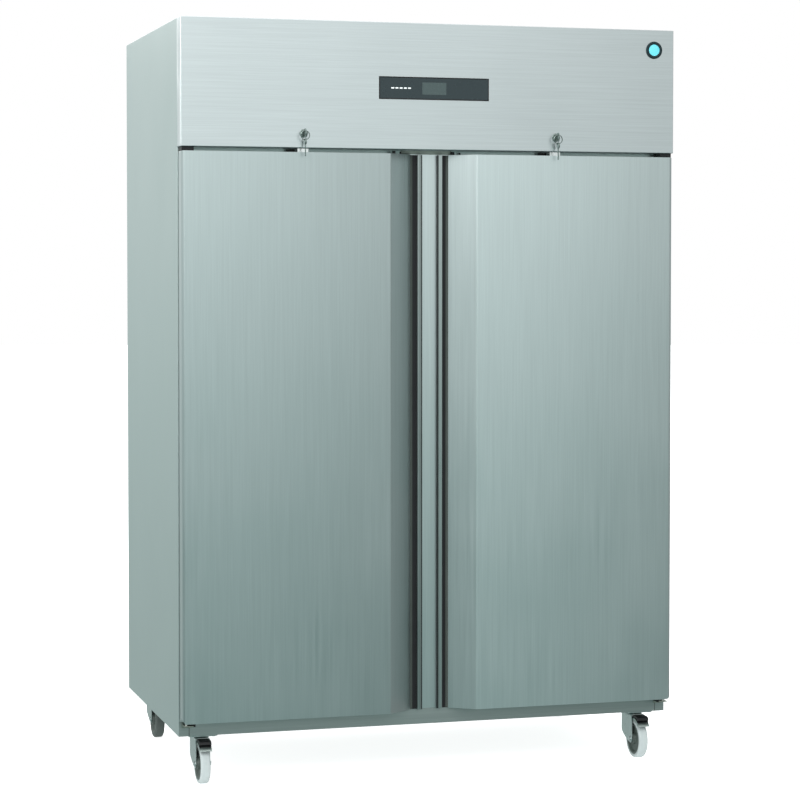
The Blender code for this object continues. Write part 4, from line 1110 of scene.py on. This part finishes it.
def make_brake(name):
    """Steel pedal with its cheeks, pin and shoe, a black pad over its slope, and the guard above it."""
    low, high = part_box(name + "_brake")
    x = (low.x + high.x) / 2
    y, z = centre_of(name + "_wheel").y + BRAKE_BEHIND_AXLE, BRAKE_HEIGHT
    half = PEDAL_HALF
    lever = [(0.004, 0.0003), (-0.030, 0.0003), (-0.0385, -0.0040), (-0.046, -0.0085), (-0.0512, -0.0132),
             (-0.055, -0.0175), (-0.058, -0.0160), (-0.0545, -0.0112), (-0.049, -0.0068),
             (-0.0465, -0.0060), (-0.040, -0.0020), (-0.031, 0.0022), (0.004, 0.0022)]
    cheek = [(0.004, 0.0020), (-0.026, 0.0020), (-0.034, 0.0012), (-0.045, -0.0055), (-0.0535, -0.0125),
             (-0.0500, -0.0160), (-0.0430, -0.0125), (-0.0340, -0.0070), (-0.026, -0.0045),
             (0.004, -0.0045)]
    pad = [(-0.0475, -0.0062), (-0.049, -0.0058), (-0.046, -0.0030), (-0.038, 0.0012), (-0.031, 0.0030),
           (-0.004, 0.0030), (-0.004, 0.0024), (-0.031, 0.0024), (-0.040, -0.0018)]
    guard = [(0.0100, 0.0038), (0.0100, 0.0078), (-0.0130, 0.0078), (-0.0130, 0.0098), (-0.041, 0.0098),
             (-0.048, 0.0070), (-0.0515, 0.0015), (-0.0515, -0.0005), (-0.047, -0.0018),
             (-0.044, 0.0015), (-0.040, 0.0040)]
    pedal = softened(slab(shifted(lever, y, z), "X", x, half), 0.0005, 2, 50)
    shoe = block((x - 0.010, x + 0.010), (y - 0.024, y + 0.002), (z - 0.002, z + 0.002))
    pin = rod("X", (y, z), 0.0022, low.x, high.x, 20)
    cheeks = [prism(shifted(cheek, y, z), "X", *sorted((x + sign * (half - CHEEK_SHEET), x + sign * half)))
              for _, sign in SIDES]
    piece(name + "_pedal", joined(pedal, shoe, pin, *cheeks), "pedal", name + "_pedal",
          [name + "_brake"])
    cover = slab(shifted(pad, y, z), "X", x, half + 0.0004)
    piece(name + "_pad", cover, "black", name + "_pedal")
    body = softened(slab(shifted(guard, y, z), "X", x, half), 0.0006, 2, 50)
    piece(name + "_guard", body, "black", name + "_swivel")


# ---------------------------------------------------------------- inside

def make_shelf(side, level):
    """Welded wire shelf: a round frame, close wires on it, and two cross wires under them."""
    node = "shelf_%s_%s" % (side, level)
    low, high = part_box(node)
    r = FRAME_WIRE_RADIUS
    z = low.z + r
    frame_path = [(a, b, z) for a, b in rounded((low.x + r, low.y + r), (high.x - r, high.y - r), 0.014, 5)]
    wires = [tube(frame_path, r, 10, closed=True)]
    count = int((high.x - low.x) / WIRE_PITCH)
    pitch = (high.x - low.x - 2 * r) / count
    top = high.z - WIRE_RADIUS
    for step in range(1, count):
        x = low.x + r + pitch * step
        path = [(x, low.y + 0.002, top - 0.0012), (x, low.y + 0.006, top), (x, high.y - 0.006, top),
                (x, high.y - 0.002, top - 0.0012)]
        wires.append(tube(path, WIRE_RADIUS, 8))
    for share in (0.33, 0.67):
        y = low.y + (high.y - low.y) * share
        wires.append(tube([(low.x + r, y, z - 0.0008), (high.x - r, y, z - 0.0008)], CROSS_WIRE_RADIUS, 8))
    piece("wire_" + node, together(*wires), "wire", "cabinet", [node])


def runner_heights():
    """Tops of the runners: the shelves rest on the second and the fourth of five, evenly spaced."""
    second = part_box("shelf_left_lower")[0].z
    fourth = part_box("shelf_left_upper")[0].z
    pitch = (fourth - second) / 2
    return [second - 0.0003 + pitch * (step - 1) for step in range(5)]


def rack_slots(y_range, z_range, corner, x_range):
    """Cutters for the slots up one post of a rack."""
    low, high = z_range
    count = int((high - low - SLOT_MARGIN) / SLOT_PITCH)
    heights = [low + SLOT_PITCH + SLOT_PITCH * step for step in range(count)]
    return [prism(rounded((y_range[0], z - SLOT_HALF), (y_range[1], z + SLOT_HALF), corner), "X", *x_range)
            for z in heights]


def make_side_rack(side, sign):
    """Slotted back plate with folded runners."""
    node = "shelf_rack_" + side
    low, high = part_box(node)
    wall, tip = (high.x, low.x) if sign > 0 else (low.x, high.x)
    plate_inner = wall - sign * 0.002
    through = sorted((wall - sign * 0.01, wall + sign * 0.01))
    strips = []
    for start in (low.y + 0.01, (low.y + high.y) / 2 - 0.03, high.y - 0.07):
        strip = block(sorted((wall, plate_inner)), (start, start + 0.06), (low.z, high.z))
        slots = rack_slots((start + 0.026, start + 0.034), (low.z, high.z), 0.0038, through)
        strips.append(softened(cut(strip, *slots), 0.0004, 1))
    web, lip = plate_inner - sign * RACK_SHEET, tip + sign * RACK_SHEET
    for z in runner_heights():
        shelf = z - RACK_SHEET
        profile = [(plate_inner, z - 0.030), (web, z - 0.030), (web, shelf), (lip, shelf), (lip, z - 0.010),
                   (tip, z - 0.010), (tip, z), (plate_inner, z)]
        strips.append(softened(prism(profile, "Y", low.y, high.y), 0.0006, 2))
    piece("rack_" + side, together(*strips), "liner", "cabinet", [node])


def make_centre_rack():
    """Two slotted posts behind the mullion, with double runners."""
    node = "shelf_rack_centre"
    low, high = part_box(node)
    t = RACK_SHEET
    parts = []
    for y in (low.y + 0.020, high.y - 0.040):
        post = block((-0.009, 0.009), (y, y + 0.018), (low.z, high.z))
        slots = rack_slots((y + 0.006, y + 0.012), (low.z, high.z), 0.0028, (-0.02, 0.02))
        parts.append(softened(cut(post, *slots), 0.0006, 2))
    for z in runner_heights():
        profile = [(low.x, z), (low.x, z - 0.010), (low.x + t, z - 0.010), (low.x + t, z - t),
                   (high.x - t, z - t), (high.x - t, z - 0.010), (high.x, z - 0.010), (high.x, z)]
        parts.append(softened(prism(profile, "Y", low.y, high.y), 0.0006, 2))
    piece("rack_centre", together(*parts), "liner", "cabinet", [node])


def make_fan_guard():
    """Ring guard under the evaporator fan, and the screws of the cover."""
    low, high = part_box("evaporator_cover")
    fan = centre_of("evaporator_fan")
    place = (fan.x, fan.y)
    z = low.z - 0.004
    wires = []
    for step in range(5):
        ring = circle(place, GUARD_INNER + GUARD_PITCH * step, 40)
        wires.append(tube([(a, b, z) for a, b in ring], 0.0012, 8, closed=True))
    for index in range(4):
        angle = radians(45 + 90 * index)
        spoke = [(fan.x + r * cos(angle), fan.y + r * sin(angle), z + 0.002) for r in (0.020, 0.098)]
        wires.append(tube(spoke, 0.0016, 8))
    hub = turned([(0.0, z - 0.002), (0.019, z - 0.002), (0.021, z), (0.021, z + 0.002), (0.0, z + 0.002)],
                 "Z", place, 32)
    piece("fan_guard", together(hub, *wires), "wire", "cabinet")
    places = [(x, y, low.z) for x in (low.x + 0.02, high.x - 0.02)
              for y in (low.y + 0.02, (low.y + high.y) / 2, high.y - 0.02)]
    piece("evaporator_screws", placed(pan_head(0.004, 0.0025), "-Z", places), "bright", "cabinet")


# ---------------------------------------------------------------- stage

def make_stage():
    floor_material, _, shader = new_finish("studio_floor", (0.95, 0.95, 0.95), 0.7)
    shader.inputs["Specular IOR Level"].default_value = 0.1
    shader.inputs["Emission Color"].default_value = (1.0, 1.0, 1.0, 1.0)
    shader.inputs["Emission Strength"].default_value = FLOOR_GLOW
    floor = bpy.data.objects.new("floor", prism(circle((0.0, 0.0), 40.0, 96), "Z", -0.02, -0.0005))
    floor.data.materials.append(floor_material)
    bpy.context.scene.collection.objects.link(floor)
    floor.visible_glossy = False


def colour_ramp(tree, value, stops):
    """A smooth run of colours, each one given with its place from 0 to 1."""
    ramp = add_node(tree, "ShaderNodeValToRGB", {"Fac": value})
    elements = ramp.color_ramp.elements
    while len(elements) < len(stops):
        elements.new(0.5)
    for element, (position, colour) in zip(elements, stops):
        element.position = position
        element.color = (*colour, 1.0)
    return ramp.outputs["Color"]


def make_world():
    """A white room with soft light from above and in front, dimmer low down and towards the right."""
    world = bpy.data.worlds.new("studio")
    world.use_nodes = True
    bpy.context.scene.world = world
    tree = world.node_tree
    place = tree.nodes.new("ShaderNodeTexCoord").outputs["Generated"]
    split = add_node(tree, "ShaderNodeSeparateXYZ", {"Vector": place})
    by_height = colour_ramp(tree, between(tree, split.outputs["Z"], 0.0, 1.0, -1.0, 1.0),
                            [((height + 1) / 2, colour) for height, colour in HEIGHT_LIGHT])
    bearing = maths(tree, "ARCTAN2", split.outputs["X"], maths(tree, "MULTIPLY", split.outputs["Y"], -1.0))
    turn = between(tree, bearing, 0.0, 1.0, -pi, pi)
    level, evenness = [
        colour_ramp(tree, turn, [((angle + 180) / 360, (amount,) * 3) for angle, amount in stops])
        for stops in (BEARING_LIGHT, BEARING_EVEN)]
    even = mixed(tree, evenness, by_height, (*EVEN_LIGHT, 1.0))
    levelled = mixed(tree, 1.0, even, level, "MULTIPLY")
    lit = feed(tree, tree.nodes["Background"], {"Color": levelled, "Strength": WORLD_STRENGTH})
    seen = add_node(tree, "ShaderNodeBackground", {"Color": (1.0, 1.0, 1.0, 1.0), "Strength": 1.0})
    camera_ray = tree.nodes.new("ShaderNodeLightPath").outputs["Is Camera Ray"]
    either = add_node(tree, "ShaderNodeMixShader", {"Fac": camera_ray, 1: lit.outputs["Background"],
                                                    2: seen.outputs["Background"]})
    feed(tree, tree.nodes["World Output"], {"Surface": either.outputs["Shader"]})
    bpy.context.scene.view_settings.view_transform = "Standard"


def area_light(name, place, target, width, height, power):
    data = bpy.data.lights.new(name, "AREA")
    data.shape = "RECTANGLE"
    data.size = width
    data.size_y = height
    data.energy = power
    made = bpy.data.objects.new(name, data)
    made.location = place
    made.rotation_euler = (Vector(target) - Vector(place)).to_track_quat("-Z", "Y").to_euler()
    bpy.context.scene.collection.objects.link(made)
    return made


def make_lights():
    area_light("key", (-3.5, -4.5, 4.2), (0.0, 0.0, 1.0), 3.0, 2.5, 160.0)
    area_light("back", (0.0, 5.0, 4.0), (0.0, 0.0, 1.0), 4.0, 3.0, 90.0)


def make_camera():
    data = bpy.data.cameras.new("camera")
    data.lens = CAMERA_LENS
    data.sensor_width = 36.0
    data.shift_y = CAMERA_SHIFT
    data.clip_end = 200.0
    made = bpy.data.objects.new("camera", data)
    made.location = CAMERA_PLACE
    made.rotation_euler = (pi / 2 - CAMERA_PITCH, 0.0, -CAMERA_YAW)
    bpy.context.scene.collection.objects.link(made)
    bpy.context.scene.camera = made


def main():
    make_camera()
    make_world()
    make_lights()
    make_stage()
    make_finishes()
    finish_frame_nodes()
    make_cover_screws()
    for side, sign in SIDES:
        make_door_shell(side, sign)
        make_door_liner(side)
        make_gasket(side)
        make_grip(side, sign)
        make_top_pads(side)
        make_bottom_hinge(side, sign)
        make_lock(side)
        make_side_rack(side, sign)
        for level in ("lower", "upper"):
            make_shelf(side, level)
        for row in ("front", "rear"):
            make_castor("castor_%s_%s" % (row, side))
        make_brake("castor_front_" + side)
    make_front_strips()
    make_plinth_face()
    make_centre_rack()
    make_fan_guard()
    make_control_panel()
    make_badge()


main()
